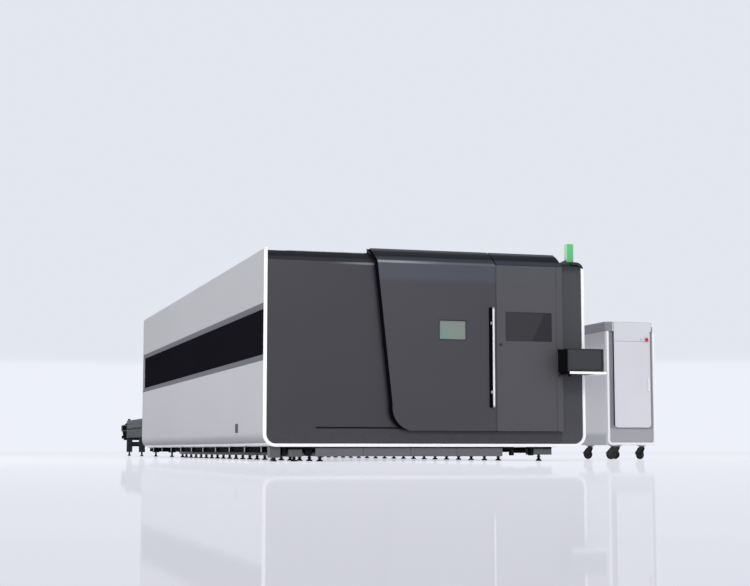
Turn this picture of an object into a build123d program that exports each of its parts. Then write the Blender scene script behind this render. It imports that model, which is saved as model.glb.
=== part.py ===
from build123d import *
import math
import os

# Fiber laser cutting machine: a long enclosure with its short end as the front, a two-level
# exchange table behind it and a laser source cabinet on casters at its side.
# Millimetres. While it is built, the origin is on the floor under the front left corner of the
# enclosure: +X runs right along the front, +Y to the back, +Z up. The export moves it to the
# middle of the whole machine's footprint.

# Pallets, which carry the sheet
pallet_length = 8050
pallet_width = 2490
pallet_bar = 60
pallet_bar_height = 70
crossbar_height = 25
crossbars = 8
wheel_radius = 30
wheel_width = 35
wheel_stations = 5
slat_thickness = 6
slat_height = 75
slat_pitch = 300
tooth_pitch = 260
tooth_depth = 26
upper_level = 640
lower_level = 425

# Bed
pallet_margin = 65
bed_left = 560
bed_right = 160
beam_width = 210
beam_top = 950
beam_pocket_depth = 70
beam_pocket_edge = 80
beam_pockets = 9
bed_front = 470
pallet_front = 1050
rear_room = 500
base_height = 97
base_width = 80
base_left = 610
base_right = 670
foot_pitch = 466
foot_radius = 40
foot_stud_radius = 17
cross_pitch = 920
cross_first = 440
cross_width = 60
guide_width = 30
guide_height = 30
rack_height = 25
ledge_width = 60
ledge_thickness = 40

# Enclosure
body_width = bed_left + 2 * (beam_width + pallet_margin) + pallet_width + bed_right
body_length = pallet_front + pallet_length + rear_room
side_top = 2323
trim_bottom = 158
corner_radius = 140
top_radius = 40
panel_sheet = 26
rear_sheet = 24
trim_width = 34
trim_depth = 36
side_trim_top = 196
band_low = 1086
band_high = 1714
band_reveal_low = 74
band_reveal_high = 56
band_recess = 30
grip_y = (1384, 1568)
grip_z = (319, 426)
grip_depth = 4
roof_sheet = 15
roof_front = 450
right_front_drop = 46
right_front_radius = 95
right_front_width = 900
post_width = 100

# Front
column_width = 295
cabinet_width = 804
fixed_face = 12
front_sheet = 22
left_crease_drop = 138
left_hood_rise = 120
left_hood_depth = 138
left_hood_lip = 40
door_face = -50
door_sheet = 26
door_crease_drop = 116
hood_rise = 171
hood_depth = 265
hood_lip = 50
door_gap = 15
door_overlap = 493
door_lean = 190
door_tip_reach = 203
door_sweep_start = 620
door_sweep_sag = 57
door_bottom = 335
doorway_width = 906
edge_strip_width = 39
edge_strip_set_back = 12
groove_low = 354
groove_high = 374
groove_spare = 119
guide_foot = 30
window_width = 316
window_inset = 351
window_z = (1346, 1563)
pane_thickness = 8
handle_inset = 42
handle_z = (594, 1720)
handle_posts = (768, 1544)
handle_radius = 12
handle_reach = 55
backing_overlap = (35, 12)
backing_thickness = 4
door_rail_set_back = 30
door_rail_size = (24, 20)
hanger_inset = 146
hanger_half = 60

# Control cabinet and console
stile_width = 75
hinge_gap = 6
cabinet_depth = 420
cabinet_drop = 183
cabinet_sheet = 15
screen_inset = (113, 55)
screen_z = (1349, 1672)
lock_inset = 49
lock_height = 1302
lock_radius = 18
console_offset = 10
console_width = 440
console_z = (998, 1255)
console_front = -330
console_pivot_inset = 14
tray_thickness = 28
pin_radius = 8
estop_y = -200
estop_z = 1130

# Signal lamp
lamp_inset = 160
lamp_size = 88
lamp_height = 212
lamp_front = 110

# Gantry
gantry_front = 540
gantry_depth = 280
gantry_low = 1110
gantry_height = 280
head_start = 870
nozzle_tip = 820

# Exchange table
table_gap = 12
girder_low = 390
girder_high = 755
girder_width = 90
girder_short = 770
leg_pitch = 1990
leg_low = 80
shaft_z = 600
shaft_radius = 20
sprocket_radius = 51.7
chain_thickness = 14
chain_width = 16

# Laser source cabinet
source_gap = 1455
source_width = 705
source_front = 2500
source_depth = 950
source_low = 190
source_top = 1835
source_frame_top = 1706
source_sheet = 18
source_trim = 32
source_radius = 62
source_door_left = 102
source_door_width = 529
source_door_z = (422, 1572)
pull_z = (910, 1075)
pull_width = 14
pull_inset = 26
caster_inset = (120, 170)
caster_y = (2600, 3340)
caster_radius = 62
caster_width = 44
caster_trail = 34
caster_turns = (52, 18, 35, 70)
axle_radius = 7
module_set_back = 200
module_height = 900
drawer_pitch = 165

# Fits
running_gap = 0.3
shaft_clearance = 0.05
panel_gap = 3
seat_gap = 0.5

# Places that follow from these sizes
right_front_top = side_top - right_front_drop
left_crease = side_top - left_crease_drop
door_crease = side_top - door_crease_drop
cabinet_top = side_top - cabinet_drop
bed_half_inner = pallet_width / 2 + pallet_margin
bed_middle = bed_left + beam_width + bed_half_inner
bed_back = body_length - 70
cabinet_right = body_width - column_width
cabinet_left = cabinet_right - cabinet_width
hinge_stile_left = cabinet_right - stile_width
cabinet_door_right = hinge_stile_left - hinge_gap
screen_x = (cabinet_left + screen_inset[0], cabinet_door_right - screen_inset[1])
lock_place = (cabinet_left + lock_inset, lock_height)
console_x = (hinge_stile_left + console_offset, hinge_stile_left + console_offset + console_width)
door_right = cabinet_left - door_gap
door_left_top = door_right - doorway_width - door_overlap
door_left_foot = door_left_top + door_lean
door_tip = door_left_foot + door_tip_reach
doorway_left = door_right - doorway_width
door_travel = doorway_width
groove_left = door_tip - guide_foot - door_travel - groove_spare
window_x = (door_right - window_inset - window_width, door_right - window_inset)
handle_x = door_right - handle_inset
backing_x = (handle_x - backing_overlap[0], handle_x + backing_overlap[1])
plinth_top = door_bottom
lamp_x = body_width - lamp_inset
table_front = body_length + table_gap
table_pallet_front = table_front + 88
shaft_y = table_pallet_front + pallet_length + 120
girder_end = shaft_y - girder_short
source_left = body_width + source_gap
source_x = (source_left, source_left + source_width)
source_face_x = (source_left + source_door_left, source_left + source_door_left + source_door_width)
caster_x = (source_x[0] + caster_inset[0], source_x[1] - caster_inset[1])

nodes = {}


def block(x, y, z):
    """A box between three pairs of limits."""
    sizes = [high - low for low, high in (x, y, z)]
    middle = [(high + low) / 2 for low, high in (x, y, z)]
    return Pos(*middle) * Box(*sizes)


def polygon(*points):
    return make_face(Polyline(*points, close=True))


def rectangle(x, z, radius=0):
    """A rectangle between two pairs of limits, its corners rounded."""
    face = Pos((x[0] + x[1]) / 2, (z[0] + z[1]) / 2) * Rectangle(x[1] - x[0], z[1] - z[0])
    return fillet(face.vertices(), radius) if radius else face


def along_x(face, x):
    """A Y-Z outline extruded from one X to another."""
    return extrude(Plane.YZ.offset(x[0]) * face, amount=x[1] - x[0])


def along_y(face, y):
    """An X-Z outline extruded from one Y to another."""
    return extrude(Plane.XZ.offset(-y[0]) * face, amount=-(y[1] - y[0]))


def rod_x(x, y, z, radius):
    return along_x(Pos(y, z) * Circle(radius), x)


def rod_y(x, y, z, radius):
    return along_y(Pos(x, z) * Circle(radius), y)


def rod_z(x, y, z, radius):
    return Pos(x, y, z[0]) * Cylinder(radius, z[1] - z[0], align=(Align.CENTER, Align.CENTER, Align.MIN))


def mirrored(shape, middle):
    """The same shape on the other side of the plane X = middle."""
    return mirror(shape, Plane.YZ.offset(middle))


def group(*shapes):
    """Separate solids in one node."""
    solids = []
    for shape in shapes:
        solids.extend(shape.solids())
    return Compound(children=solids)


# Outline of the enclosure, seen from the front
def body_outline():
    face = rectangle((0, body_width), (trim_bottom, side_top))
    low = face.vertices().sort_by(Axis.Y)[:2]
    face = fillet(low, corner_radius)
    high = face.vertices().sort_by(Axis.Y)[-2:]
    return fillet(high, top_radius)


def right_front_outline():
    """Outline of the right front, lower than the side and with a larger corner."""
    face = rectangle((body_width - right_front_width, body_width), (trim_bottom, right_front_top))
    corners = face.vertices().sort_by(Axis.X)[-2:].sort_by(Axis.Y)
    face = fillet(corners[0], corner_radius)
    corner = face.vertices().sort_by(Axis.Y)[-2:].sort_by(Axis.X)[-1]
    return fillet(corner, right_front_radius)


def body_ring(thickness):
    outer = body_outline()
    return outer - offset(outer, amount=-thickness)


def front_trim():
    """White edge up the left side, along the bottom and up the right side."""
    seam_x = body_width - right_front_width + 50
    outer = body_outline() & rectangle((-1, seam_x), (0, side_top + 1))
    outer = outer + (right_front_outline() & rectangle((seam_x, body_width + 1), (0, side_top)))
    low = trim_bottom + trim_width
    inner = rectangle((trim_width, body_width - trim_width), (low, side_top + 200))
    inner = fillet(inner.vertices().sort_by(Axis.Y)[:2], corner_radius - trim_width)
    hook = right_front_outline() - offset(right_front_outline(), amount=-trim_width)
    hook_x = (body_width - 1.6 * right_front_radius, body_width)
    hook = hook & rectangle(hook_x, (right_front_top - 200, side_top))
    return along_y((outer - inner) + hook, (0, trim_depth))


# Side walls
side_front = trim_depth
side_back = body_length - rear_sheet
reveal_inner = band_recess + panel_sheet


def side_face(z, top=False):
    """One stretch of the left wall's section, with its rounded edges."""
    reach = 75 if top else pad_x[0] - 2
    return body_ring(panel_sheet) & rectangle((-1, reach), z)


def reveal(outer_z, inner_z):
    """Sloped edge between a side panel and the dark band."""
    return polygon((0, outer_z), (panel_sheet, outer_z), (reveal_inner, inner_z), (band_recess, inner_z))


def upper_side(left):
    face = side_face((band_high, side_top + 1), top=True) + reveal(band_high, band_high - band_reveal_high)
    panel = along_y(face, (side_front, side_back))
    if left:
        notch = block((trim_width - 4, 80), (side_front - 1, header_front + 20),
                      (left_top - 10, side_top + 1))
        return panel - notch
    panel = mirrored(panel, body_width / 2)
    corner = rectangle((body_width - 200, body_width + 10), (right_front_top - 300, side_top + 10))
    return panel - along_y(corner - right_front_outline(), (0, roof_front))


def lower_side(left):
    face = side_face((side_trim_top, band_low)) + reveal(band_low, band_low + band_reveal_low)
    panel = along_y(face, (side_front, side_back))
    panel = panel - block((-1, grip_depth), grip_y, grip_z)
    return panel if left else mirrored(panel, body_width / 2)


def side_bands():
    """Dark bands set into both sides."""
    z = (band_low + band_reveal_low, band_high - band_reveal_high)
    band = block((band_recess, reveal_inner), (side_front, side_back), z)
    return group(band, mirrored(band, body_width / 2))


def bottom_trims():
    face = side_face((trim_bottom - 1, side_trim_top))
    strip = along_y(face, (side_front, side_back))
    return group(strip, mirrored(strip, body_width / 2))


# Steel frame inside the enclosure
post_x = (reveal_inner, reveal_inner + post_width)
sill_z = (220, 300)
sill_x = (62, bed_right)
pad_x = (112, bed_right)
skirt_x = (120, bed_right + 40)
beam_z = (side_top - 128, side_top - panel_sheet)
header_front = fixed_face + left_hood_depth
left_top = left_crease + left_hood_rise
header_z = (left_top - 155, left_top)
post_first = header_front + 10
post_last = side_back - post_width - 46
post_places = [post_first + index * (post_last - post_first) / 3 for index in range(4)]


def enclosure_frame():
    left = []
    for y in post_places:
        left.append(block(post_x, (y, y + post_width), (sill_z[1], beam_z[0])))
    left.append(block(sill_x, (60, bed_back), sill_z))
    parts = left + [mirrored(shape, body_width / 2) for shape in left]
    left_beam = block(post_x, (post_first, side_back), beam_z)
    right_beam = mirrored(block(post_x, (roof_front, side_back), beam_z), body_width / 2)
    parts += [left_beam, right_beam]
    inner_x = (post_x[1], body_width - post_x[1])
    for y in [roof_front] + post_places[1:]:
        parts.append(block(inner_x, (y, y + post_width), beam_z))
    parts.append(block((post_x[1], cabinet_right), (header_front, roof_front), header_z))
    return group(*parts)


def roof_panel():
    x = (75, body_width - 75)
    return block(x, (roof_front, side_back), (beam_z[1], beam_z[1] + roof_sheet))


# Rear wall with the slot for the pallets, and its lifting door
slot_x = (bed_middle - bed_half_inner - 70, bed_middle + bed_half_inner + 70)
slot_z = (lower_level - 85, upper_level + 220)
lift_door_travel = 560
lift_rib_pitch = 520
lift_rib_width = 100
lift_rib_edge = 140
lift_door_x = (slot_x[0] - 22, slot_x[1] + 22)
lift_door_y = (side_back - 26 - running_gap, side_back - running_gap)
guide_y = (side_back - 40, side_back)


def rear_wall():
    face = body_outline() - rectangle(slot_x, slot_z, 20)
    wall = along_y(face, (side_back, body_length))
    z = (slot_z[0] - 50, slot_z[1] + lift_door_travel + 80)
    left = block((lift_door_x[0] - 40, lift_door_x[0] - running_gap), guide_y, z)
    keeper_y = (guide_y[0], lift_door_y[0] - running_gap)
    left = left + block((lift_door_x[0] - 2, lift_door_x[0] + 20), keeper_y, z)
    return wall + left + mirrored(left, bed_middle)


def rear_lift_door():
    z = (slot_z[0] - 20 + lift_door_travel, slot_z[1] + 20 + lift_door_travel)
    door = block(lift_door_x, lift_door_y, z)
    pocket = lift_rib_pitch - lift_rib_width
    x = lift_door_x[0] + lift_rib_edge
    while x + lift_rib_pitch - 20 < lift_door_x[1]:
        door = door - block((x, x + pocket), (lift_door_y[0] - 1, lift_door_y[0] + 12), (z[0] + 60, z[1] - 60))
        x += lift_rib_pitch
    return door


# Front panels
def hooded_face(face_y, low, crease, rise, depth, sheet, lip):
    """Section of a sheet that stands upright and then leans back in an arc to a lipped edge."""
    back = face_y + depth
    top = crease + rise
    edges = [
        Line((face_y, low), (face_y, crease)),
        ThreePointArc((face_y, crease), (face_y + 0.455 * depth, crease + 0.57 * rise), (back, top)),
        Line((back, top), (back, low)),
        Line((back, low), (face_y, low)),
    ]
    outer = make_face(edges)
    wall = outer - offset(outer, amount=-sheet)
    wall = wall - rectangle((face_y + sheet, back + 1), (low - 1, crease - 0.4 * sheet))
    return wall - rectangle((back - sheet - 1, back + 1), (low - 1, top - lip))


def left_front_panel():
    """Fixed panel left of the doorway, with the slot that guides the door's foot."""
    low = trim_bottom + trim_width
    face = hooded_face(fixed_face, low, left_crease, left_hood_rise, left_hood_depth, front_sheet,
                       left_hood_lip)
    sheet = along_x(face, (trim_width, doorway_left))
    corner = rectangle((trim_width, doorway_left), (low, left_top))
    corner_point = corner.vertices().sort_by(Axis.Y)[:2].sort_by(Axis.X)[0]
    corner = fillet(corner_point, corner_radius - trim_width)
    sheet = sheet & along_y(corner, (fixed_face - 1, fixed_face + left_hood_depth + 1))
    groove = block((groove_left, door_tip + 15), (fixed_face - 1, fixed_face + front_sheet + 1),
                   (groove_low, groove_high))
    return sheet - groove


def plinth_panel():
    x = (doorway_left, cabinet_right + panel_gap)
    return block(x, (fixed_face, fixed_face + front_sheet), (trim_bottom + trim_width, plinth_top))


def right_front_column():
    """Narrow fixed panel at the right, under the signal lamp."""
    low = trim_bottom + trim_width
    depth = 90
    crease = right_front_top - 55
    outer = make_face([
        Line((fixed_face, low), (fixed_face, crease)),
        ThreePointArc((fixed_face, crease), (fixed_face + 0.4 * depth, crease + 40),
                      (fixed_face + depth, right_front_top)),
        Line((fixed_face + depth, right_front_top), (roof_front, right_front_top)),
        Line((roof_front, right_front_top), (roof_front, low)),
        Line((roof_front, low), (fixed_face, low)),
    ])
    wall = outer - offset(outer, amount=-front_sheet)
    wall = wall - rectangle((fixed_face + front_sheet, roof_front + 1),
                            (low - 1, crease - 0.4 * front_sheet))
    wall = wall - rectangle((roof_front - front_sheet - 1, roof_front + 1),
                            (low, right_front_top - front_sheet))
    x = (cabinet_right + panel_gap, body_width - trim_width)
    outline = rectangle(x, (low, right_front_top))
    right = outline.vertices().sort_by(Axis.X)[-2:].sort_by(Axis.Y)
    outline = fillet(right[0], corner_radius - trim_width)
    top = outline.vertices().sort_by(Axis.Y)[-2:].sort_by(Axis.X)[-1]
    outline = fillet(top, right_front_radius - trim_width)
    return (along_x(wall, x) & along_y(outline, (0, roof_front + 1))) - front_trim()


def right_hood():
    x = (cabinet_left, cabinet_right)
    face = hooded_face(door_face, door_crease + 1, door_crease + 1.5, hood_rise - 1.5, hood_depth,
                       door_sheet, door_crease + hood_rise - left_top)
    over_header = rectangle((header_front, door_face + hood_depth + 1), (door_crease, left_top))
    return along_x(face - over_header, x)


# Sliding door
def door_outline(shift):
    """Front view of the door. Its left edge leans and sweeps out to the right at the foot."""
    top = door_crease + hood_rise + 1
    slope = (door_left_foot - door_left_top) / (top - door_sweep_start)
    foot = (door_left_foot - shift, door_sweep_start)
    head = (foot[0] - slope * (top - door_sweep_start), top)
    middle = (door_left_foot - shift * 1.1 + door_sweep_sag, door_sweep_start - 195)
    tip = (door_tip, door_bottom)
    return make_face([
        Line(head, foot),
        ThreePointArc(foot, middle, tip),
        Line(tip, (door_right, door_bottom)),
        Line((door_right, door_bottom), (door_right, top)),
        Line((door_right, top), head),
    ])


def door_sheet_solid(outline, set_back=0):
    face = hooded_face(door_face + set_back, door_bottom - 50, door_crease, hood_rise - set_back,
                       hood_depth - set_back, door_sheet - set_back, hood_lip)
    shell = along_x(face, (door_left_top - 200, door_right))
    return shell & along_y(outline, (door_face - 1, door_face + hood_depth + 1))


def door_panel():
    window = rectangle(window_x, window_z, 8)
    return door_sheet_solid(door_outline(0)) - along_y(window, (door_face - 1, door_face + door_sheet + 1))


def door_edge_strip():
    strip = door_outline(edge_strip_width) - door_outline(0)
    return door_sheet_solid(strip, edge_strip_set_back)


def door_window():
    pane = rectangle(window_x, window_z, 8)
    return along_y(pane, (door_face + 5, door_face + 5 + pane_thickness))


def handle_backing():
    strip = rectangle(backing_x, handle_z, 6)
    return along_y(strip, (door_face - backing_thickness, door_face))


def door_handle():
    y = door_face - handle_reach
    bar = rod_z(handle_x, y, handle_z, handle_radius)
    for z in handle_posts:
        stand_off = rod_y(handle_x, (y, door_face - backing_thickness), z, handle_radius * 0.7)
        bar = bar + stand_off
    return bar


door_back = door_face + hood_depth
door_rail_y = (door_back + door_rail_set_back, door_back + door_rail_set_back + door_rail_size[0])
door_rail_top = left_top + door_rail_size[1]
door_rail_left = door_left_top - door_travel - 40
hanger_places = (door_left_foot + hanger_half + 3, door_right - hanger_inset)


def door_hangers():
    """Carriages that carry the door's hood on the rail, and the guide foot in the groove."""
    parts = []
    for x in hanger_places:
        along = (x - hanger_half, x + hanger_half)
        cap = block(along, (door_back, door_rail_y[1] + 24),
                    (door_rail_top + running_gap, door_rail_top + 25))
        for y in ((door_rail_y[0] - 14, door_rail_y[0] - running_gap),
                  (door_rail_y[1] + running_gap, door_rail_y[1] + 14)):
            cap = cap + block(along, y, (left_top + 3, door_rail_top + 1))
        parts.append(cap)
    middle = (groove_low + groove_high) / 2
    along = (door_tip - guide_foot, door_tip)
    arm = block(along, (door_face + door_sheet, fixed_face - 4), (middle - 14, middle + 14))
    shoe = block(along, (fixed_face - 5, fixed_face + front_sheet - 2),
                 (groove_low + running_gap, groove_high - running_gap))
    parts.append(arm + shoe)
    return group(*parts)


# Rails of the gantry and of the sliding door
rail_left = bed_middle - bed_half_inner - beam_width / 2
rack_set_off = 60


def linear_rails():
    y = (bed_front + 10, bed_back - 10)
    rail_x = (rail_left - guide_width / 2, rail_left + guide_width / 2)
    rail = block(rail_x, y, (beam_top, beam_top + guide_height))
    rack_x = (rail_x[0] + rack_set_off, rail_x[1] + rack_set_off - 5)
    rack = block(rack_x, y, (beam_top, beam_top + rack_height))
    sides = [rail, rack, mirrored(rail, bed_middle), mirrored(rack, bed_middle)]
    door_rail = block((door_rail_left, door_right), door_rail_y, (left_top, door_rail_top))
    groove = block((door_rail_left - 1, door_right + 1), (door_rail_y[0] - 1, door_rail_y[0] + 4),
                   (left_top + 8, left_top + 13))
    return group(*sides, door_rail - groove)


# Control cabinet
def cabinet_shell():
    """Folded cabinet, open at the front, with the stile that carries the hinges and the console."""
    x = (cabinet_left + 14, cabinet_right)
    y = (door_face + door_sheet + seat_gap, cabinet_depth)
    z = (plinth_top, cabinet_top)
    shell = block(x, y, z)
    inner = block((x[0] + cabinet_sheet, x[1] - cabinet_sheet), (y[0] - 1, y[1] - cabinet_sheet),
                  (z[0] + cabinet_sheet, z[1] - cabinet_sheet))
    shell = shell - inner
    stile = block((hinge_stile_left, cabinet_right), (door_face, y[0] + 20), (z[0], door_crease - 2))
    return shell + stile


def cabinet_devices():
    """Mounting plate at the back of the cabinet with drives, contactors and wiring ducts."""
    back = cabinet_depth - cabinet_sheet
    x = (cabinet_left + 70, cabinet_right - 70)
    z = (plinth_top + 85, cabinet_top - 80)
    plate = block(x, (back - 4, back), z)
    parts = [plate]
    front = back - 4
    rows = 4
    row_pitch = (z[1] - z[0] - 80) / rows
    for row in range(rows):
        low = z[0] + 100 + row * row_pitch
        parts.append(block((x[0] + 20, x[1] - 20), (front - 50, front), (low + 260, low + 310)))
        count = 4 if row % 2 else 6
        step = (x[1] - x[0] - 50) / count
        for column in range(count):
            left = x[0] + 30 + column * step
            parts.append(block((left, left + step - 14), (front - 120, front), (low, low + 210)))
    return group(*parts)


def cabinet_door():
    z = (door_bottom, door_crease - 2)
    face = rectangle((cabinet_left, cabinet_door_right), z)
    door = along_y(face, (door_face, door_face + door_sheet))
    pocket = rectangle((cabinet_left + 24, cabinet_door_right - 24), (z[0] + 24, z[1] - 24))
    door = door - along_y(pocket, (door_face + 6, door_face + door_sheet + 1))
    opening = rectangle(screen_x, screen_z)
    door = door - along_y(opening, (door_face - 1, door_face + 7))
    key = rod_y(lock_place[0], (door_face - 1, door_face + 7), lock_place[1], lock_radius + running_gap)
    return door - key


def monitor():
    """Screen set in the door, with its housing behind."""
    glass = block(screen_x, (door_face + 1.5, door_face + 6), screen_z)
    housing_x = (screen_x[0] - 15, screen_x[1] + 15)
    housing_z = (screen_z[0] - 15, screen_z[1] + 15)
    return glass + block(housing_x, (door_face + 6, door_face + 50), housing_z)


def cabinet_lock():
    x, z = lock_place
    barrel = rod_y(x, (door_face - 6, door_face + 18), z, lock_radius)
    cam = block((x - 10, x + 10), (door_face + 18, door_face + 22), (z - 14, z + 40))
    return barrel + cam


# Operator console
console_rear = door_face - 2
pivot_x = console_x[0] + console_pivot_inset
pivot_y = console_rear - console_pivot_inset


def console_box():
    outline = Pos((console_x[0] + console_x[1]) / 2, (console_front + console_rear) / 2) * Rectangle(
        console_x[1] - console_x[0], console_rear - console_front)
    hinge_corner = outline.vertices().sort_by(Axis.Y)[-2:].sort_by(Axis.X)[0]
    outline = fillet(hinge_corner, console_pivot_inset)
    box = extrude(Plane.XY.offset(console_z[0]) * outline, amount=console_z[1] - console_z[0])
    face = block((console_x[0] + 14, console_x[1] - 26), (console_front - 1, console_front + 5),
                 (console_z[0] + 26, console_z[1] - 14))
    box = box - face
    bore = rod_z(pivot_x, pivot_y, (console_z[0] - 1, console_z[1] + 1), pin_radius + shaft_clearance)
    button = rod_x((console_x[1] - 30, console_x[1] + 1), estop_y, estop_z, 11 + running_gap)
    tray_bottom = console_z[0] - tray_thickness
    catch = block((console_x[0] + 40, console_x[0] + 160), (console_front, console_front + 80),
                  (tray_bottom - 25, tray_bottom))
    return group(box - bore - button, catch)


def console_pin():
    """Pivot pin and its two ears on the stile."""
    pin = rod_z(pivot_x, pivot_y, (console_z[0] - 40, console_z[1] + 12), pin_radius)
    ears = []
    for z in ((console_z[0] - 40, console_z[0] - 30), (console_z[1] + 3, console_z[1] + 13)):
        ears.append(block((pivot_x - 12, pivot_x + 12), (pivot_y - 12, door_face), z))
    return pin + ears[0] + ears[1]


def console_tray():
    """Pale shelf under the console for the keyboard."""
    x = (console_x[0] + 12, console_x[1] + 24)
    top = console_z[0]
    shelf = block(x, (console_front - 20, console_rear - 40), (top - tray_thickness, top))
    bore = rod_z(pivot_x, pivot_y, (top - tray_thickness - 1, top + 1), pin_radius + 1)
    return shelf - bore


def mushroom(radius, stem):
    """Emergency stop head and stem, turned about Z from its seat at 0."""
    profile = polygon((0, -20), (stem, -20), (stem, 9), (radius, 13), (radius, 21), (0.7 * radius, 28),
                      (0, 30))
    return revolve(Plane.XZ * profile, Axis.Z)


def console_estop():
    return Pos(console_x[1], estop_y, estop_z) * Rot(0, 90, 0) * mushroom(22, 11)


# Signal lamp
lamp_y = (lamp_front, lamp_front + lamp_size)


def lamp_base():
    x = (lamp_x - 52, lamp_x + lamp_size + 10)
    top = right_front_top + 14
    plate = block(x, (lamp_y[0] - 8, lamp_y[1] + 8), (right_front_top, top))
    wedge = polygon((x[0], top), (lamp_x, top), (lamp_x, top + 26))
    return plate + along_y(wedge, (lamp_y[0] + 10, lamp_y[1] - 10))


def lamp_lens():
    face = Pos(lamp_x + lamp_size / 2, sum(lamp_y) / 2) * RectangleRounded(lamp_size, lamp_size, 16)
    return extrude(Plane.XY.offset(right_front_top + 14) * face, amount=lamp_height)


# Bed: base rails on feet, cross members, two side beams and the pallet ledges
left_beam_x = (bed_left, bed_left + beam_width)
base_rail_x = ((base_left, base_left + base_width),
               (body_width - base_right - base_width, body_width - base_right))
base_rail_front = (60, cross_first + cross_width / 2 + 430)
base_rail_back = body_length - 200
base_rail_low = 55
front_bar = cross_first - cross_width / 2
skirts_back = body_length - 120
cross_count = int((skirts_back - cross_first - 200) // cross_pitch) + 1
cross_places = [cross_first + index * cross_pitch for index in range(cross_count)]

# Under the front, from left to right
corner_block_x = (85, 203)
left_slat_x = (225, 262)
left_bracket_x = (290, 445)
drum_block_x = (450, 590)
right_block_inset = 400
right_slat_inset = 622
right_bracket_inset = 860
right_block_x = (body_width - right_slat_inset, body_width - right_block_inset)
right_slat_x = (right_block_x[0] - 38, right_block_x[0])
right_bracket_x = (body_width - right_bracket_inset - 130, body_width - right_bracket_inset)
right_block_back = 300
apron_x = (587, right_bracket_x[0] - 15)
apron_plates = 4
brace_places = (1500, apron_x[1] - 115)
cross_ends = (right_bracket_x[1], right_slat_x[1] - 8)


def ledge(y, level, inner):
    """Running ledge for the pallet wheels at the left, standing in from inner."""
    return block((inner, inner + ledge_width), y, (level - ledge_thickness, level))


def bed_frame():
    parts = []
    for x, front in zip(base_rail_x, base_rail_front):
        parts.append(block(x, (front, base_rail_back), (base_rail_low, base_height)))
    for index, middle in enumerate(cross_places):
        y = (middle - cross_width / 2, middle + cross_width / 2)
        short = index < len(cross_ends)
        end = cross_ends[index] if short else body_width - pad_x[0] + 40
        parts.append(block((pad_x[0] - 40, end), y, (base_height, trim_bottom)))
        pad = block(pad_x, y, (trim_bottom, sill_z[0]))
        parts += [pad] if short else [pad, mirrored(pad, body_width / 2)]
    beam = block(left_beam_x, (bed_front, bed_back), (trim_bottom, beam_top))
    pitch = (bed_back - bed_front) / beam_pockets
    for index in range(beam_pockets):
        low = bed_front + index * pitch + 60
        beam = beam - block((left_beam_x[0] - 1, left_beam_x[0] + beam_pocket_depth),
                            (low, low + pitch - 120),
                            (trim_bottom + beam_pocket_edge, beam_top - beam_pocket_edge))
    parts += [beam, mirrored(beam, bed_middle)]
    for level in (upper_level, lower_level):
        left = ledge((bed_front, guide_y[0] - 6), level, left_beam_x[1])
        parts += [left, mirrored(left, bed_middle)]
    for x in brace_places:
        parts.append(block((x, x + 60), (60, front_bar), (base_height, 140)))
    parts.append(block(corner_block_x, (60, 180), (40, trim_bottom)))
    parts.append(block(left_bracket_x, (60, front_bar), (50, 130)))
    parts.append(block(right_block_x, (60, right_block_back), (70, 140)))
    return group(*parts)


def side_skirts():
    """Black boxes between the cross members along both sides."""
    z = (base_height + 2, trim_bottom - 2)
    parts = []
    for index, middle in enumerate(cross_places[:-2]):
        back = middle - cross_width / 2
        box = block(skirt_x, (max(180, back - cross_pitch + cross_width), back), z)
        parts.append(box)
        if index >= len(cross_ends):
            parts.append(mirrored(box, body_width / 2))
    rear = block(skirt_x, (cross_places[-1] + cross_width / 2, skirts_back), z)
    parts += [rear, mirrored(rear, body_width / 2)]
    return group(*parts)


def under_front():
    """Black brackets under the front, at both ends of the apron."""
    parts = [block(left_bracket_x, (60, front_bar), (130, trim_bottom))]
    parts.append(block(left_slat_x, (60, front_bar), (60, trim_bottom)))
    drum = rod_y(sum(drum_block_x) / 2, (70, 130), 100, 44)
    parts.append(drum + block(drum_block_x, (70, front_bar), (130, trim_bottom)))
    bracket = block(right_bracket_x, (60, front_bar), (130, trim_bottom))
    bracket = bracket + block((right_bracket_x[1] - 40, right_bracket_x[1]), (60, 120), (62, 131))
    parts.append(bracket)
    for z in (96, 118):
        parts.append(rod_x((right_bracket_x[1], right_slat_x[0]), 90, z, 6))
    parts.append(block(right_slat_x, (60, 140), (62, trim_bottom)))
    parts.append(block(right_block_x, (60, right_block_back), (140, trim_bottom)))
    return group(*parts)


def slag_apron():
    """Grey apron under the front, in lengths divided by grooves."""
    plate = block(apron_x, (40, 60), (53, 148))
    step = (apron_x[1] - apron_x[0]) / apron_plates
    for index in range(1, apron_plates):
        middle = apron_x[0] + index * step
        plate = plate - block((middle - 3, middle + 3), (39, 46), (52, 149))
    return plate


def foot(x, y, top):
    """Levelling foot: a tapered six-sided pad and a four-sided stud."""
    pad = Pos(x, y, 0) * extrude(RegularPolygon(foot_radius, 6), amount=top / 3, taper=30)
    return pad + Pos(x, y, top / 3) * extrude(RegularPolygon(foot_stud_radius, 4), amount=top * 2 / 3)


def levelling_feet():
    parts = []
    for x, front in zip(base_rail_x, base_rail_front):
        y = front + 40
        while y < base_rail_back - 30:
            parts.append(foot(sum(x) / 2, y, base_rail_low))
            y += foot_pitch
    for x, y, top in ((corner_block_x, 120, 40), (left_bracket_x, 120, 50), (right_block_x, 180, 70)):
        parts.append(foot(sum(x) / 2, y, top))
    for y in leg_places:
        for x in (leg_x[0] + 50, 2 * bed_middle - leg_x[0] - 50):
            parts.append(foot(x, y, leg_low))
    return group(*parts)


# Gantry, carriage and cutting head
gantry_back = gantry_front + gantry_depth
gantry_x = (rail_left - 50, 2 * bed_middle - rail_left + 50)
gantry_top = gantry_low + gantry_height
x_rail_z = (gantry_low + 50, gantry_top - 70)
x_rail_size = 20
carriage_half = 150
carriage_y = (gantry_back + x_rail_size + seat_gap, gantry_back + x_rail_size + 30)
head_y = gantry_back + 135
slide_y = (carriage_y[1] + seat_gap, carriage_y[1] + 22)


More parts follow.
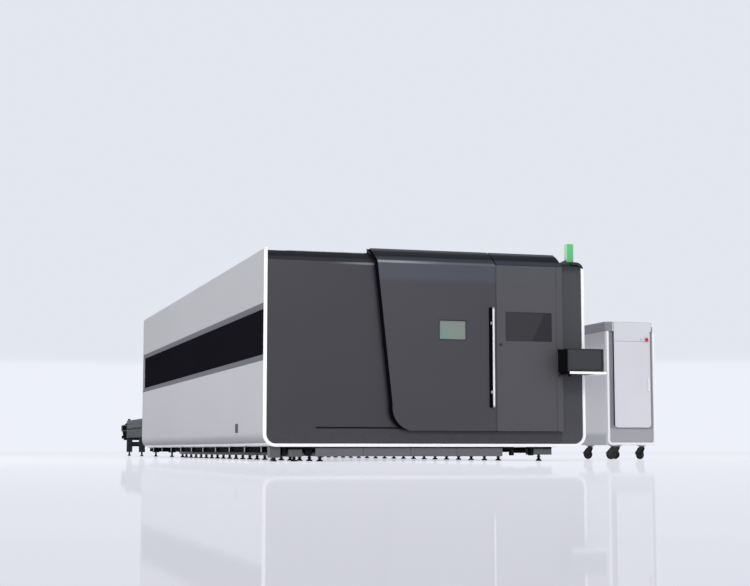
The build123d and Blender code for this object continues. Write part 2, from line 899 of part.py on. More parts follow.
def gantry_beam():
    parts = [block(gantry_x, (gantry_front, gantry_back), (gantry_low, gantry_top))]
    for z in x_rail_z:
        parts.append(block((gantry_x[0] + 60, gantry_x[1] - 60), (gantry_back, gantry_back + x_rail_size),
                           (z, z + x_rail_size)))
    for x in (rail_left, 2 * bed_middle - rail_left):
        y = (gantry_front + 20, gantry_back - 20)
        top = beam_top + guide_height
        shoe = block((x - 40, x + 40), y, (top + seat_gap, gantry_low))
        clear = guide_width / 2 + running_gap
        for low, high in ((x - 40, x - clear), (x + clear, x + 40)):
            shoe = shoe + block((low, high), y, (top - 18, top + 1))
        parts.append(shoe)
        gearbox = block((x - 60, x + 60), (gantry_front + 60, gantry_back - 80),
                        (gantry_top, gantry_top + 70))
        motor = rod_z(x, (gantry_front + gantry_back) / 2 - 10, (gantry_top + 70, gantry_top + 240), 52)
        parts.append(gearbox + motor)
    return group(*parts)


def carriage():
    x = (head_start - carriage_half, head_start + carriage_half)
    plate = block(x, carriage_y, (x_rail_z[0] - 20, x_rail_z[1] + 40))
    for z in x_rail_z:
        for side in (z - 14, z + x_rail_size + running_gap):
            plate = plate + block(x, (gantry_back + 2, carriage_y[0] + 1), (side, side + 14 - running_gap))
    motor = rod_z(head_start, (carriage_y[0] + carriage_y[1]) / 2 + 6,
                  (x_rail_z[1] + 90, x_rail_z[1] + 260), 42)
    plate = plate + block((head_start - 45, head_start + 45), (carriage_y[0], carriage_y[1] + 24),
                          (x_rail_z[1] + 39, x_rail_z[1] + 90))
    return plate + motor


def cutting_head():
    """Slide plate, collimator body and nozzle."""
    top = gantry_low + 190
    plate = block((head_start - 70, head_start + 70), slide_y, (gantry_low - 120, top + 50))
    profile = polygon((0, nozzle_tip), (4, nozzle_tip), (16, nozzle_tip + 30), (30, nozzle_tip + 44),
                      (30, nozzle_tip + 90), (44, nozzle_tip + 96), (44, top - 40), (34, top - 34),
                      (34, top), (0, top))
    body = Pos(head_start, head_y, 0) * revolve(Plane.XZ * profile, Axis.Z)
    clamp = block((head_start - 50, head_start + 50), (slide_y[1], head_y - 30),
                  (nozzle_tip + 180, nozzle_tip + 300))
    return plate + body + clamp


# Pallets

def pallet_frame(front, level):
    """Two side bars, crossbars between them and the wheels that run on the ledges."""
    left = bed_middle - pallet_width / 2
    z = (level + 5, level + 5 + pallet_bar_height)
    bar = block((left, left + pallet_bar), (front, front + pallet_length), z)
    parts = [bar, mirrored(bar, bed_middle)]
    inner = (left + pallet_bar, 2 * bed_middle - left - pallet_bar)
    step = (pallet_length - pallet_bar) / (crossbars - 1)
    for index in range(crossbars):
        y = front + index * step
        parts.append(block(inner, (y, y + pallet_bar), (z[0], z[0] + crossbar_height)))
    wheel_step = (pallet_length - 500) / (wheel_stations - 1)
    for index in range(wheel_stations):
        y = front + 250 + index * wheel_step
        wheel = rod_x((left - wheel_width, left), y, level + wheel_radius + running_gap, wheel_radius)
        parts += [wheel, mirrored(wheel, bed_middle)]
    return group(*parts)


def slat_face(length):
    """One slat seen from the front: a plate with a row of teeth along its top."""
    teeth = int(length // tooth_pitch)
    start = (length - teeth * tooth_pitch) / 2
    low = slat_height - tooth_depth
    points = [(0, 0), (length, 0), (length, low)]
    for index in range(teeth, 0, -1):
        points.append((start + index * tooth_pitch - 30, low))
        points.append((start + (index - 0.5) * tooth_pitch, slat_height))
    points.append((start + 30, low))
    points.append((0, low))
    return polygon(*points)


def pallet_slats(front, level):
    left = bed_middle - pallet_width / 2 + pallet_bar
    length = 2 * (bed_middle - left)
    low = level + 5 + crossbar_height
    slat = along_y(Pos(left, low) * slat_face(length), (0, slat_thickness))
    count = int((pallet_length - 2 * pallet_bar) // slat_pitch)
    start = front + (pallet_length - (count - 1) * slat_pitch) / 2
    return group(*[Pos(0, start + index * slat_pitch, 0) * slat for index in range(count)])


# Exchange table
girder_x = (left_beam_x[1] - girder_width, left_beam_x[1])
leg_x = (girder_x[0], girder_x[0] + 100)
leg_first = table_front + 230
leg_last = girder_end - 115
leg_count = int((leg_last - leg_first - 300) // leg_pitch) + 1
leg_places = [leg_last - index * leg_pitch for index in range(leg_count)] + [leg_first]
chain_x = (girder_x[0] - 4 - chain_width, girder_x[0] - 4)
chain_inner = sprocket_radius + running_gap
idler_y = table_front + 150


def table_frame():
    parts = []
    girder = block(girder_x, (table_front + 30, girder_end), (girder_low, girder_high))
    parts.append(girder)
    parts.append(block((girder_x[0] - 40, girder_x[0]), (body_length, body_length + 80),
                       (girder_low, girder_high)))
    for level in (upper_level, lower_level):
        parts.append(ledge((table_front, shaft_y - 70), level, girder_x[1]))
    stop = block((girder_x[0] + 20, girder_x[1] - 20), (girder_end - 60, girder_end - 10),
                 (girder_high, girder_high + 40))
    parts.append(stop)
    bracket = polygon((girder_end, girder_low), (girder_end, girder_high - 40),
                      (girder_end + 420, shaft_z + 75),
                      (shaft_y, shaft_z + 75), (shaft_y + 70, shaft_z), (shaft_y, shaft_z - 70),
                      (girder_end + 500, girder_low - 50), (girder_end + 300, girder_low - 50))
    bracket = along_x(bracket, (girder_x[0], girder_x[0] + 24))
    parts.append(bracket - rod_x((girder_x[0] - 1, girder_x[0] + 25), shaft_y, shaft_z,
                                 shaft_radius + shaft_clearance))
    parts.append(block((girder_x[0] + 24, girder_x[1]), (girder_end, girder_end + 500),
                       (girder_low - 50, lower_level)))
    roller = rod_x((girder_x[0] - 30, girder_x[0]), girder_end + 600, girder_low + 15, 34)
    parts.append(roller)
    for y in leg_places:
        parts.append(block(leg_x, (y - 100, y + 100), (leg_low, girder_low - 5)))
        parts.append(block((leg_x[0], girder_x[1]), (y - 100, y + 100), (girder_low - 5, girder_low)))
    parts += [mirrored(shape, bed_middle) for shape in parts]
    for y in leg_places:
        parts.append(block((leg_x[1], 2 * bed_middle - leg_x[1]), (y - 40, y + 40), (200, 300)))
    end_beam = block((girder_x[0] + 24, 2 * bed_middle - girder_x[0] - 24), (shaft_y - 200, shaft_y - 120),
                     (girder_low - 50, girder_low + 10))
    parts.append(end_beam)
    return group(*parts)


def drive_chains():
    """Chain loops outside the girders, with their front idlers."""
    loop = SlotCenterToCenter(shaft_y - idler_y, 2 * (chain_inner + chain_thickness))
    hole = SlotCenterToCenter(shaft_y - idler_y, 2 * chain_inner)
    face = Pos((shaft_y + idler_y) / 2, shaft_z) * (loop - hole)
    chain = along_x(face, chain_x)
    idler = rod_x((chain_x[0] + 1, girder_x[0]), idler_y, shaft_z, sprocket_radius)
    return group(chain, idler, mirrored(chain, bed_middle), mirrored(idler, bed_middle))


def sprocket():
    """Toothed disc in the Y-Z plane around the shaft."""
    teeth = 16
    face = Circle(sprocket_radius - 8)
    for index in range(teeth):
        face += Rot(0, 0, index * 360 / teeth) * Pos(sprocket_radius - 6, 0) * Rectangle(11, 8)
    return face


def drive_shaft():
    x = (chain_x[0] - 6, 2 * bed_middle - chain_x[0] + 6)
    shaft = rod_x(x, shaft_y, shaft_z, shaft_radius)
    for low in (chain_x[0] + 2, 2 * bed_middle - chain_x[1] + 2):
        shaft = shaft + along_x(Pos(shaft_y, shaft_z) * sprocket(), (low, low + chain_width - 4))
    return shaft


def gearmotor():
    """Hollow-shaft gearbox on the drive shaft with its motor hanging below, on the end beam."""
    x = (2 * bed_middle - girder_x[1] - 490, 2 * bed_middle - girder_x[1] - 330)
    box = block(x, (shaft_y - 75, shaft_y + 90), (shaft_z - 110, shaft_z + 80))
    box = box - rod_x((x[0] - 1, x[1] + 1), shaft_y, shaft_z, shaft_radius + shaft_clearance)
    motor = rod_z(sum(x) / 2, shaft_y + 10, (shaft_z - 380, shaft_z - 110), 70)
    arm = block((x[0] + 50, x[1] - 50), (shaft_y - 120, shaft_y - 75), (girder_low - 40, girder_low))
    arm = arm + block((x[0] + 50, x[1] - 50), (shaft_y - 76, shaft_y - 56),
                      (girder_low - 40, shaft_z - 100))
    return box + motor + arm


# Laser source cabinet
source_back = source_front + source_depth
face_x = source_face_x
fascia_y = (source_front + 30, source_front + 60)
source_stop = (face_x[1] - 52, source_door_z[1] + 28)


def source_front_frame():
    outer = rectangle(source_x, (source_low, source_frame_top))
    outer = fillet(outer.vertices().sort_by(Axis.Y)[:2], source_radius)
    inner = rectangle((source_x[0] + source_trim, source_x[1] - source_trim),
                      (source_low + source_trim, source_frame_top + 1))
    inner = fillet(inner.vertices().sort_by(Axis.Y)[:2], source_radius - source_trim)
    return along_y(outer - inner, (source_front, fascia_y[1]))


def source_shell():
    """Cabinet body, its dark top cover and the fixed strip over the door."""
    y = (fascia_y[1], source_back)
    body = block(source_x, y, (source_low, source_top - 60))
    inner = block((source_x[0] + source_sheet, source_x[1] - source_sheet), (y[0] - 1, y[1] - source_sheet),
                  (source_low + source_sheet, source_frame_top))
    body = body - inner
    fascia_x = (source_x[0] + source_trim, source_x[1] - source_trim)
    fascia = rectangle(fascia_x, (source_low + source_trim, source_frame_top))
    fascia = fillet(fascia.vertices().sort_by(Axis.Y)[:2], source_radius - source_trim)
    door_hole = rectangle((face_x[0] + 16, face_x[1] - 16), (source_door_z[0] + 16, source_door_z[1] - 16))
    body = body + along_y(fascia - door_hole, fascia_y)
    cover = Pos((source_x[0] + source_x[1]) / 2, (source_front + source_back) / 2) * Rectangle(
        source_x[1] - source_x[0], source_depth)
    cover = chamfer(cover.vertices().sort_by(Axis.Y)[:2], 50, 88)
    body = body + extrude(Plane.XY.offset(source_frame_top) * cover, amount=source_top - source_frame_top)
    strip = block(face_x, (source_front - 8, fascia_y[0] + 1),
                  (source_door_z[1] + panel_gap, source_top - 8))
    body = body + strip
    return body - rod_y(source_stop[0], (source_front - 9, source_front + 21), source_stop[1],
                        11 + running_gap)


def source_door():
    face = rectangle(face_x, source_door_z)
    face = fillet(face.vertices().sort_by(Axis.Y)[:2], 44)
    door = along_y(face, (source_front - 8, fascia_y[0] - seat_gap))
    pocket = rectangle((face_x[0] + 20, face_x[1] - 20), (source_door_z[0] + 20, source_door_z[1] - 20), 24)
    door = door - along_y(pocket, (source_front - 4, fascia_y[0]))
    pull = rectangle((face_x[1] - pull_inset - pull_width, face_x[1] - pull_inset), pull_z, 6)
    return door + along_y(pull, (source_front - 26, source_front - 7))


def source_estop():
    x, z = source_stop
    return Pos(x, source_front - 8, z) * Rot(90, 0, 0) * mushroom(24, 11)


def laser_module():
    """Fibre laser source standing on the cabinet's floor."""
    x = (source_x[0] + 120, source_x[1] - 120)
    floor = source_low + source_sheet
    front = source_front + module_set_back
    module = block(x, (front, source_back - 120), (floor, floor + module_height))
    for index in range(5):
        z = floor + 80 + index * drawer_pitch
        module = module - block((x[0] + 30, x[1] - 30), (front - 1, front + 10), (z, z + drawer_pitch - 45))
    return module


def caster_plate(x, y):
    """Plate under the cabinet with the socket for a caster's kingpin."""
    plate = block((x - 44, x + 44), (y - 40, y + 40), (source_low - 14, source_low))
    return plate - rod_z(x, y, (source_low - 15, source_low - 2), pin_radius + shaft_clearance)


def caster_fork(x, y, turn):
    """Kingpin, swivel bearing, hood and two legs with the axle between them, swivelled by an angle."""
    half = caster_width / 2 + 3
    kingpin = rod_z(0, 0, (source_low - 20, source_low - 3), pin_radius)
    hub = rod_z(0, 0, (source_low - 34, source_low - 14 - running_gap), 34)
    top = source_low - 33
    low = caster_radius - 16
    hood_edge = (caster_trail + caster_radius + 3, caster_radius + 22)
    side = make_face([
        Line((-32, top), (34, top)),
        Line((34, top), hood_edge),
        ThreePointArc(hood_edge, (caster_trail + 52, caster_radius + 5), (caster_trail + 18, low)),
        Line((caster_trail + 18, low), (caster_trail - 16, low)),
        Line((caster_trail - 16, low), (-32, top)),
    ])
    legs = [along_x(side, (left, left + 6)) for left in (-half - 6, half)]
    bridge = block((-half - 6, half + 6), (-32, 34), (top - 5, top))
    axle = rod_x((-half - 1, half + 1), caster_trail, caster_radius, axle_radius)
    return Pos(x, y, 0) * Rot(0, 0, turn) * (kingpin + hub + legs[0] + legs[1] + bridge + axle)


def caster_wheel(x, y, turn):
    """Wheel with a rounded tread, on the fork's axle."""
    half = caster_width / 2
    bore = axle_radius + shaft_clearance
    rim = caster_radius - 9
    profile = polygon((bore, -half), (rim, -half), (caster_radius, 8 - half),
                      (caster_radius, half - 8), (rim, half), (bore, half))
    wheel = revolve(Plane.XZ * profile, Axis.Z)
    return Pos(x, y, 0) * Rot(0, 0, turn) * Pos(0, caster_trail, caster_radius) * Rot(0, 90, 0) * wheel


def build():
    nodes["bed_frame"] = bed_frame()
    nodes["levelling_feet"] = levelling_feet()
    nodes["side_skirts"] = group(side_skirts(), under_front())
    nodes["slag_apron"] = slag_apron()
    nodes["enclosure_frame"] = enclosure_frame()
    nodes["front_trim"] = front_trim()
    nodes["left_front_panel"] = left_front_panel()
    nodes["plinth_panel"] = plinth_panel()
    nodes["right_front_column"] = right_front_column()
    nodes["right_hood"] = right_hood()
    for side in ("left", "right"):
        nodes[side + "_upper_panel"] = upper_side(side == "left")
        nodes[side + "_lower_panel"] = lower_side(side == "left")
    nodes["side_bands"] = side_bands()
    nodes["bottom_trims"] = bottom_trims()
    nodes["roof_panel"] = roof_panel()
    nodes["rear_wall"] = rear_wall()
    nodes["rear_lift_door"] = rear_lift_door()
    nodes["door_panel"] = door_panel()
    nodes["door_window"] = door_window()
    nodes["door_handle"] = door_handle()
    nodes["handle_backing"] = handle_backing()
    nodes["door_edge_strip"] = door_edge_strip()
    nodes["door_hangers"] = door_hangers()
    nodes["linear_rails"] = linear_rails()
    nodes["cabinet_shell"] = group(cabinet_shell(), console_pin())
    nodes["cabinet_devices"] = cabinet_devices()
    nodes["cabinet_door"] = cabinet_door()
    nodes["monitor"] = monitor()
    nodes["cabinet_lock"] = cabinet_lock()
    nodes["console_box"] = console_box()
    nodes["console_tray"] = console_tray()
    nodes["console_estop"] = console_estop()
    nodes["lamp_base"] = lamp_base()
    nodes["lamp_lens"] = lamp_lens()
    nodes["gantry_beam"] = gantry_beam()
    nodes["carriage"] = carriage()
    nodes["cutting_head"] = cutting_head()
    nodes["upper_pallet_frame"] = pallet_frame(pallet_front, upper_level)
    nodes["upper_pallet_slats"] = pallet_slats(pallet_front, upper_level)
    nodes["lower_pallet_frame"] = pallet_frame(table_pallet_front, lower_level)
    nodes["lower_pallet_slats"] = pallet_slats(table_pallet_front, lower_level)
    nodes["table_frame"] = table_frame()
    nodes["drive_chains"] = drive_chains()
    nodes["drive_shaft"] = drive_shaft()
    nodes["gearmotor"] = gearmotor()
    plates = [caster_plate(x, y) for x in caster_x for y in caster_y]
    nodes["source_shell"] = group(source_shell(), *plates)
    nodes["source_front_frame"] = source_front_frame()
    nodes["source_door"] = source_door()
    nodes["source_estop"] = source_estop()
    nodes["laser_module"] = laser_module()
    for row, y in enumerate(caster_y):
        for column, x in enumerate(caster_x):
            number = 1 + 2 * row + column
            turn = caster_turns[number - 1]
            nodes[f"caster_fork_{number}"] = caster_fork(x, y, turn)
            nodes[f"caster_wheel_{number}"] = caster_wheel(x, y, turn)
    return nodes


build()
everything = group(*nodes.values())
limits = everything.bounding_box()
to_row_frame = Pos(-(limits.min.X + limits.max.X) / 2, -(limits.min.Y + limits.max.Y) / 2, -limits.min.Z)
os.makedirs("parts", exist_ok=True)
for name, shape in nodes.items():
    export_step(to_row_frame * shape, f"parts/{name}.step")
print(len(nodes), "nodes; machine frame to row frame:", to_row_frame.position)
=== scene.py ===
# %% [markdown]
# A fiber laser cutting machine, 18 metres long, dressed for a catalogue picture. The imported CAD
# model comes in first and stays where it is. Everything made here sits on it, rides on one of its
# bodies, and is measured from the same corner, so nothing has to be fitted by eye.

# %% Load the frame
import contextlib
import math

import bmesh
import bpy
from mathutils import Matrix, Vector


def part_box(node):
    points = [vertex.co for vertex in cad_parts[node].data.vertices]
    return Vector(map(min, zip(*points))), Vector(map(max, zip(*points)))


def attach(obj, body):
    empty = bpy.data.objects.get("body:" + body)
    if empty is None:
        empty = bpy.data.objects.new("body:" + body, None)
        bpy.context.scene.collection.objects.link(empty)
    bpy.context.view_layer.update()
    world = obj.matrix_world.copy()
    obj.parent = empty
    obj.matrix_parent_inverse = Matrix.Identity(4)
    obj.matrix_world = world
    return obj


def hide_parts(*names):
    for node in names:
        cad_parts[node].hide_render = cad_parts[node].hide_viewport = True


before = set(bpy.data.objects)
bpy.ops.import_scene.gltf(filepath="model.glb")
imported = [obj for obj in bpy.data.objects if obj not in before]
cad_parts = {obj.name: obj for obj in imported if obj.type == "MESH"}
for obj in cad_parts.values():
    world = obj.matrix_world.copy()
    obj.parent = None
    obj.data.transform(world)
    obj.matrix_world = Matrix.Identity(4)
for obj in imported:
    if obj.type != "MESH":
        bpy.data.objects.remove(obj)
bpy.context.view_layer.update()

bpy.ops.object.select_all(action="DESELECT")

# %% [markdown]
# All places below are in metres from one corner of the machine: the floor under the front left
# corner of the enclosure. X runs right along the front, Y to the back and Z up. Only one function
# knows where that corner is, so a change of the frame changes nothing else.

# %% The corner that everything is measured from
corner = Vector((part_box("front_trim")[0].x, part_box("front_trim")[0].y, 0))


def spot(x, y, z):
    """A point of the machine, in the frame."""
    return corner + Vector((x, y, z))


def span(node):
    """A node's lowest and highest corner, measured from the machine's corner."""
    low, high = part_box(node)
    return low - corner, high - corner


print("corner at", tuple(round(value, 3) for value in corner))

# %% [markdown]
# Modelling by hand means: select something, then run an operator on it. These few helpers say
# what is selected, because an operator acts on all that is.

# %% Selecting and editing
def deselect():
    bpy.ops.object.select_all(action="DESELECT")


def pick(*pieces):
    """Select these pieces and make the first one active."""
    deselect()
    for piece in pieces:
        piece.select_set(True)
    bpy.context.view_layer.objects.active = pieces[0]


@contextlib.contextmanager
def editing(piece, kind="FACE"):
    """Edit mode on one piece, with nothing selected in it."""
    pick(piece)
    bpy.ops.object.mode_set(mode="EDIT")
    bpy.ops.mesh.select_mode(type=kind)
    bpy.ops.mesh.select_all(action="DESELECT")
    yield
    bpy.ops.object.mode_set(mode="OBJECT")


def choose_faces(piece, rule):
    """In edit mode, select the faces whose centre and normal pass the rule."""
    mesh = bmesh.from_edit_mesh(piece.data)
    for face in mesh.faces:
        face.select_set(bool(rule(face.calc_center_median() - corner, face.normal)))
    bmesh.update_edit_mesh(piece.data)


def apply_all(piece):
    """Apply every modifier in turn."""
    pick(piece)
    for modifier in list(piece.modifiers):
        bpy.ops.object.modifier_apply(modifier=modifier.name)


def soften(piece, width, segments=2, angle=30):
    """Round the sharp edges a little, so that they catch the light. Flat faces stay flat to the eye."""
    bevel = piece.modifiers.new("soft edges", "BEVEL")
    bevel.width = width
    bevel.segments = segments
    bevel.limit_method = "ANGLE"
    bevel.angle_limit = math.radians(angle)
    bevel.use_clamp_overlap = True
    apply_all(piece)
    bpy.ops.object.shade_smooth_by_angle(angle=math.radians(angle))
    even = piece.modifiers.new("flat faces", "WEIGHTED_NORMAL")
    even.keep_sharp = True
    apply_all(piece)


def settle(piece):
    """Put the place, turn and size into the mesh, so that the object sits at the origin."""
    pick(piece)
    bpy.ops.object.transform_apply(location=True, rotation=True, scale=True)


def block(name, low, high):
    """A box between two corners, measured from the machine's corner."""
    low, high = Vector(low), Vector(high)
    bpy.ops.mesh.primitive_cube_add(size=1, location=corner + (low + high) / 2)
    piece = bpy.context.object
    piece.name = name
    piece.scale = high - low
    settle(piece)
    return piece


def drum(name, start, end, radius, sides=32, end_radius=None):
    """A cylinder or cone from one point to another."""
    start, end = Vector(start), Vector(end)
    along = end - start
    bpy.ops.mesh.primitive_cone_add(vertices=sides, radius1=radius, depth=along.length,
                                    radius2=radius if end_radius is None else end_radius,
                                    location=corner + (start + end) / 2)
    piece = bpy.context.object
    piece.name = name
    piece.rotation_euler = along.to_track_quat("Z", "Y").to_euler()
    settle(piece)
    return piece


def join(name, pieces):
    """Several meshes as one piece."""
    pick(*pieces)
    if len(pieces) > 1:
        bpy.ops.object.join()
    bpy.context.object.name = name
    return bpy.context.object


def turned(name, profile, centre, axis=(0, 0, 1), steps=40):
    """A piece made on a lathe: points (radius, along) spun around an axis through the centre."""
    mesh = bpy.data.meshes.new(name)
    count = len(profile)
    mesh.from_pydata([(radius, 0, along) for radius, along in profile],
                     [(index, (index + 1) % count) for index in range(count)], [])
    piece = bpy.data.objects.new(name, mesh)
    bpy.context.scene.collection.objects.link(piece)
    with editing(piece, "VERT"):
        bpy.ops.mesh.select_all(action="SELECT")
        bpy.ops.mesh.spin(steps=steps, angle=2 * math.pi, center=(0, 0, 0), axis=(0, 0, 1))
        bpy.ops.mesh.select_all(action="SELECT")
        bpy.ops.mesh.remove_doubles(threshold=0.00002)
        bpy.ops.mesh.normals_make_consistent(inside=False)
    piece.rotation_euler = Vector(axis).to_track_quat("Z", "Y").to_euler()
    piece.location = corner + Vector(centre)
    settle(piece)
    bpy.ops.object.shade_smooth_by_angle(angle=math.radians(35))
    return piece


def mirrored(half):
    """A whole lathe profile from its lower half."""
    return half + [(radius, -along) for radius, along in reversed(half)]


def ring(name, x, z, y, width, depth):
    """A flat frame around an opening in the front, from y forwards by its depth."""
    bpy.ops.mesh.primitive_plane_add(size=1, rotation=(math.radians(90), 0, 0),
                                     location=spot(sum(x) / 2, y, sum(z) / 2))
    piece = bpy.context.object
    piece.name = name
    piece.scale = (x[1] - x[0], z[1] - z[0], 1)
    settle(piece)
    with editing(piece):
        bpy.ops.mesh.select_all(action="SELECT")
        bpy.ops.mesh.inset(thickness=width)
        bpy.ops.mesh.delete(type="FACE")
    sheet = piece.modifiers.new("depth", "SOLIDIFY")
    sheet.thickness = depth
    sheet.offset = 1
    apply_all(piece)
    return piece


def row(piece, count, step):
    """Repeat a piece along a line."""
    array = piece.modifiers.new("row", "ARRAY")
    array.count = count
    array.use_relative_offset = False
    array.use_constant_offset = True
    array.constant_offset_displace = step
    apply_all(piece)
    return piece


def copy(piece, offset):
    """A copy with its own mesh, moved by an offset."""
    twin = piece.copy()
    twin.data = piece.data.copy()
    twin.location = Vector(offset)
    bpy.context.scene.collection.objects.link(twin)
    settle(twin)
    return twin


def scatter(name, piece, offsets):
    """Copies of a piece at each offset, as one piece. The first one is used up."""
    twins = [copy(piece, offset) for offset in offsets]
    bpy.data.objects.remove(piece)
    return join(name, twins)


def solids_of(node):
    """The lowest and highest corner of each loose solid of a CAD node, from the machine's corner."""
    twin = bpy.data.objects.new("loose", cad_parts[node].data.copy())
    bpy.context.scene.collection.objects.link(twin)
    with editing(twin, "VERT"):
        bpy.ops.mesh.select_all(action="SELECT")
        bpy.ops.mesh.remove_doubles(threshold=0.00002)
        bpy.ops.mesh.separate(type="LOOSE")
    boxes = []
    for part in list(bpy.context.selected_objects):
        points = [vertex.co - corner for vertex in part.data.vertices]
        low = Vector([min(point[axis] for point in points) for axis in range(3)])
        high = Vector([max(point[axis] for point in points) for axis in range(3)])
        boxes.append((low, high))
        bpy.data.objects.remove(part)
    return boxes


def paint(piece, material, rule):
    """Give the faces that pass the rule their own finish."""
    piece.data.materials.append(material)
    with editing(piece):
        choose_faces(piece, rule)
        piece.active_material_index = len(piece.data.materials) - 1
        bpy.ops.object.material_slot_assign()


print("helpers ready")

# %% [markdown]
# A finish is a small graph of shader nodes. Written out node by node it is long to read, so one
# class stands for a socket and takes Python's operators, and one method adds any other node. A
# colour can't go through a Math node, which would turn it grey, so colours are mixed.

# %% Writing a finish as expressions
class Signal:
    """The output of a shader node. Arithmetic on it adds Math nodes."""

    def __init__(self, finish, socket):
        self.finish = finish
        self.socket = socket

    def math(self, operation, *values):
        return self.finish.add("ShaderNodeMath", {"operation": operation}, dict(enumerate(values)))

    def __add__(self, other):
        return self.math("ADD", self, other)

    def __radd__(self, other):
        return self.math("ADD", other, self)

    def __sub__(self, other):
        return self.math("SUBTRACT", self, other)

    def __rsub__(self, other):
        return self.math("SUBTRACT", other, self)

    def __mul__(self, other):
        return self.math("MULTIPLY", self, other)

    def clamp(self):
        return self.finish.add("ShaderNodeClamp", {}, {"Value": self})

    def between(self, low, high):
        """0 below low, 1 above high, smooth in between."""
        return self.finish.add("ShaderNodeMapRange", {"interpolation_type": "SMOOTHSTEP"},
                               {"Value": self, "From Min": low, "From Max": high})


class Finish:
    """A material under construction, on Object coordinates."""

    def __init__(self, name, colour, roughness=0.5, metallic=0.0, **constants):
        self.material = bpy.data.materials.new(name)
        self.material.use_nodes = True
        self.tree = self.material.node_tree
        self.surface = self.tree.nodes["Principled BSDF"]
        self.set("Base Color", (*colour, 1))
        self.set("Roughness", roughness)
        self.set("Metallic", metallic)
        for name, value in constants.items():
            self.set(name.replace("_", " ").title().replace("Ior", "IOR"), value)
        self.place = self.add("ShaderNodeTexCoord", {}, {}, "Object")

    def add(self, kind, settings, sockets, output=0):
        """Any node: its settings first, then the values or links of its sockets."""
        node = self.tree.nodes.new(kind)
        for key, value in settings.items():
            if key == "stops":
                ramp = node.color_ramp.elements
                while len(ramp) < len(value):
                    ramp.new(0.5)
                for element, (position, colour) in zip(ramp, value):
                    element.position = position
                    element.color = (*colour, 1)
            else:
                setattr(node, key, value)
        for key, value in sockets.items():
            self.feed(node.inputs[key], value)
        return Signal(self, node.outputs[output])

    def feed(self, socket, value):
        if isinstance(value, Signal):
            self.tree.links.new(value.socket, socket)
        else:
            socket.default_value = value

    def set(self, name, value):
        self.feed(self.surface.inputs[name], value)

    def noise(self, scale, detail=2.0, stretch=(1, 1, 1)):
        """Soft noise between 0 and 1. Stretch is its scale along each axis."""
        where = self.add("ShaderNodeMapping", {}, {"Vector": self.place, "Scale": stretch})
        return self.add("ShaderNodeTexNoise", {}, {"Vector": where, "Scale": scale, "Detail": detail})

    def axis(self, letter):
        """Where a point is along X, Y or Z, in metres."""
        return self.add("ShaderNodeSeparateXYZ", {}, {"Vector": self.place}, letter)

    def height(self):
        """How high a point is above the floor."""
        return self.axis("Z")

    def mix(self, factor, first, second, blend="MIX"):
        """A colour between two others, or their product."""
        node = self.tree.nodes.new("ShaderNodeMix")
        node.data_type = "RGBA"
        node.blend_type = blend
        self.feed(node.inputs[0], factor)
        self.feed(node.inputs[6], first if isinstance(first, Signal) else (*first[:3], 1))
        self.feed(node.inputs[7], second if isinstance(second, Signal) else (*second[:3], 1))
        return Signal(self, node.outputs[2])

    def bump(self, height, strength, distance):
        self.set("Normal", self.add("ShaderNodeBump", {}, {"Height": height, "Strength": strength,
                                                           "Distance": distance}))


def shade(colour, factor):
    """The same colour, lighter or darker."""
    return tuple(min(1, channel * factor) for channel in colour)


def srgb(red, green, blue):
    """A colour as a picture shows it, from 0 to 255, as light."""
    channels = [value / 255 for value in (red, green, blue)]
    return tuple(c / 12.92 if c <= 0.04045 else ((c + 0.055) / 1.055) ** 2.4 for c in channels)


print("finish kit ready")

# %% [markdown]
# Powder coat covers almost every sheet of this machine. Seen close it has a fine orange-peel
# texture. From further off its colour and gloss drift a little over a large panel, and dust
# settles near the floor. The thin bright line along a sharp crease is a painted highlight, and most bands
# by height are painted shade, highlights and reflections. One function makes all its shades.

# %% Powder coat
def powder_coat(name, colour, roughness=0.42, drift=0.03, dust=0.05, peel=0.03, gloss=0.45, tones=(),
                crease_highlights=()):
    """Each tone is a height, half the width of its soft edge, and the colour above it; most tones
    paint in shade, highlights and reflections. Each crease highlight is a painted highlight along a folded
    crease:
    its heights, its two ends along X, and the colour there."""
    finish = Finish(name, colour, roughness, specular_ior_level=gloss)
    tone = (*colour, 1)
    for height, soft, upper in tones:
        tone = finish.mix(finish.height().between(height - soft, height + soft), tone, upper)
    for (low, high), (left, right), (at_left, at_right) in crease_highlights:
        rise = finish.height()
        inside = rise.between(low - 0.006, low + 0.004) * (1 - rise.between(high - 0.004, high + 0.006))
        reach = finish.axis("X").between(spot(left, 0, 0).x, spot(right, 0, 0).x)
        tone = finish.mix(inside, tone, finish.mix(reach, at_left, at_right))
    cloud = finish.noise(0.9, 3)
    fine = finish.noise(60, 2)
    faded = finish.mix(cloud.between(0.3, 0.7), shade((1, 1, 1), 1 - 2 * drift), (1, 1, 1))
    tone = finish.mix(1, tone, faded, "MULTIPLY")
    dusty = (1 - finish.height().between(0.12, 0.5)) * fine.between(0.35, 0.75) * dust
    finish.set("Base Color", finish.mix(dusty.clamp(), tone, srgb(150, 146, 140)))
    finish.set("Roughness", (roughness - 0.05 + cloud * 0.08 + dusty * 0.5).clamp())
    finish.bump(finish.noise(420, 1), peel, 0.0006)
    return finish.material


# Painted highlights along the creases: the door's is brightest at its left end, the left sheet's towards its
# right.
door_crease = [((2.19, 2.216), (1.5, 2.15), (srgb(134, 136, 143), srgb(86, 88, 94)))]
left_crease = [((2.163, 2.19), (0.7, 1.15), (srgb(52, 51, 56), srgb(112, 114, 120)))]
left_paint = powder_coat("charcoal powder coat", srgb(52, 51, 56), crease_highlights=left_crease)
# Above 2 m the door coat turns a lighter blue-grey: painted reflection.
door_paint = powder_coat("charcoal door coat", srgb(60, 59, 64), 0.4, tones=[(2.0, 0.05, srgb(67, 70, 77))],
                         crease_highlights=door_crease)
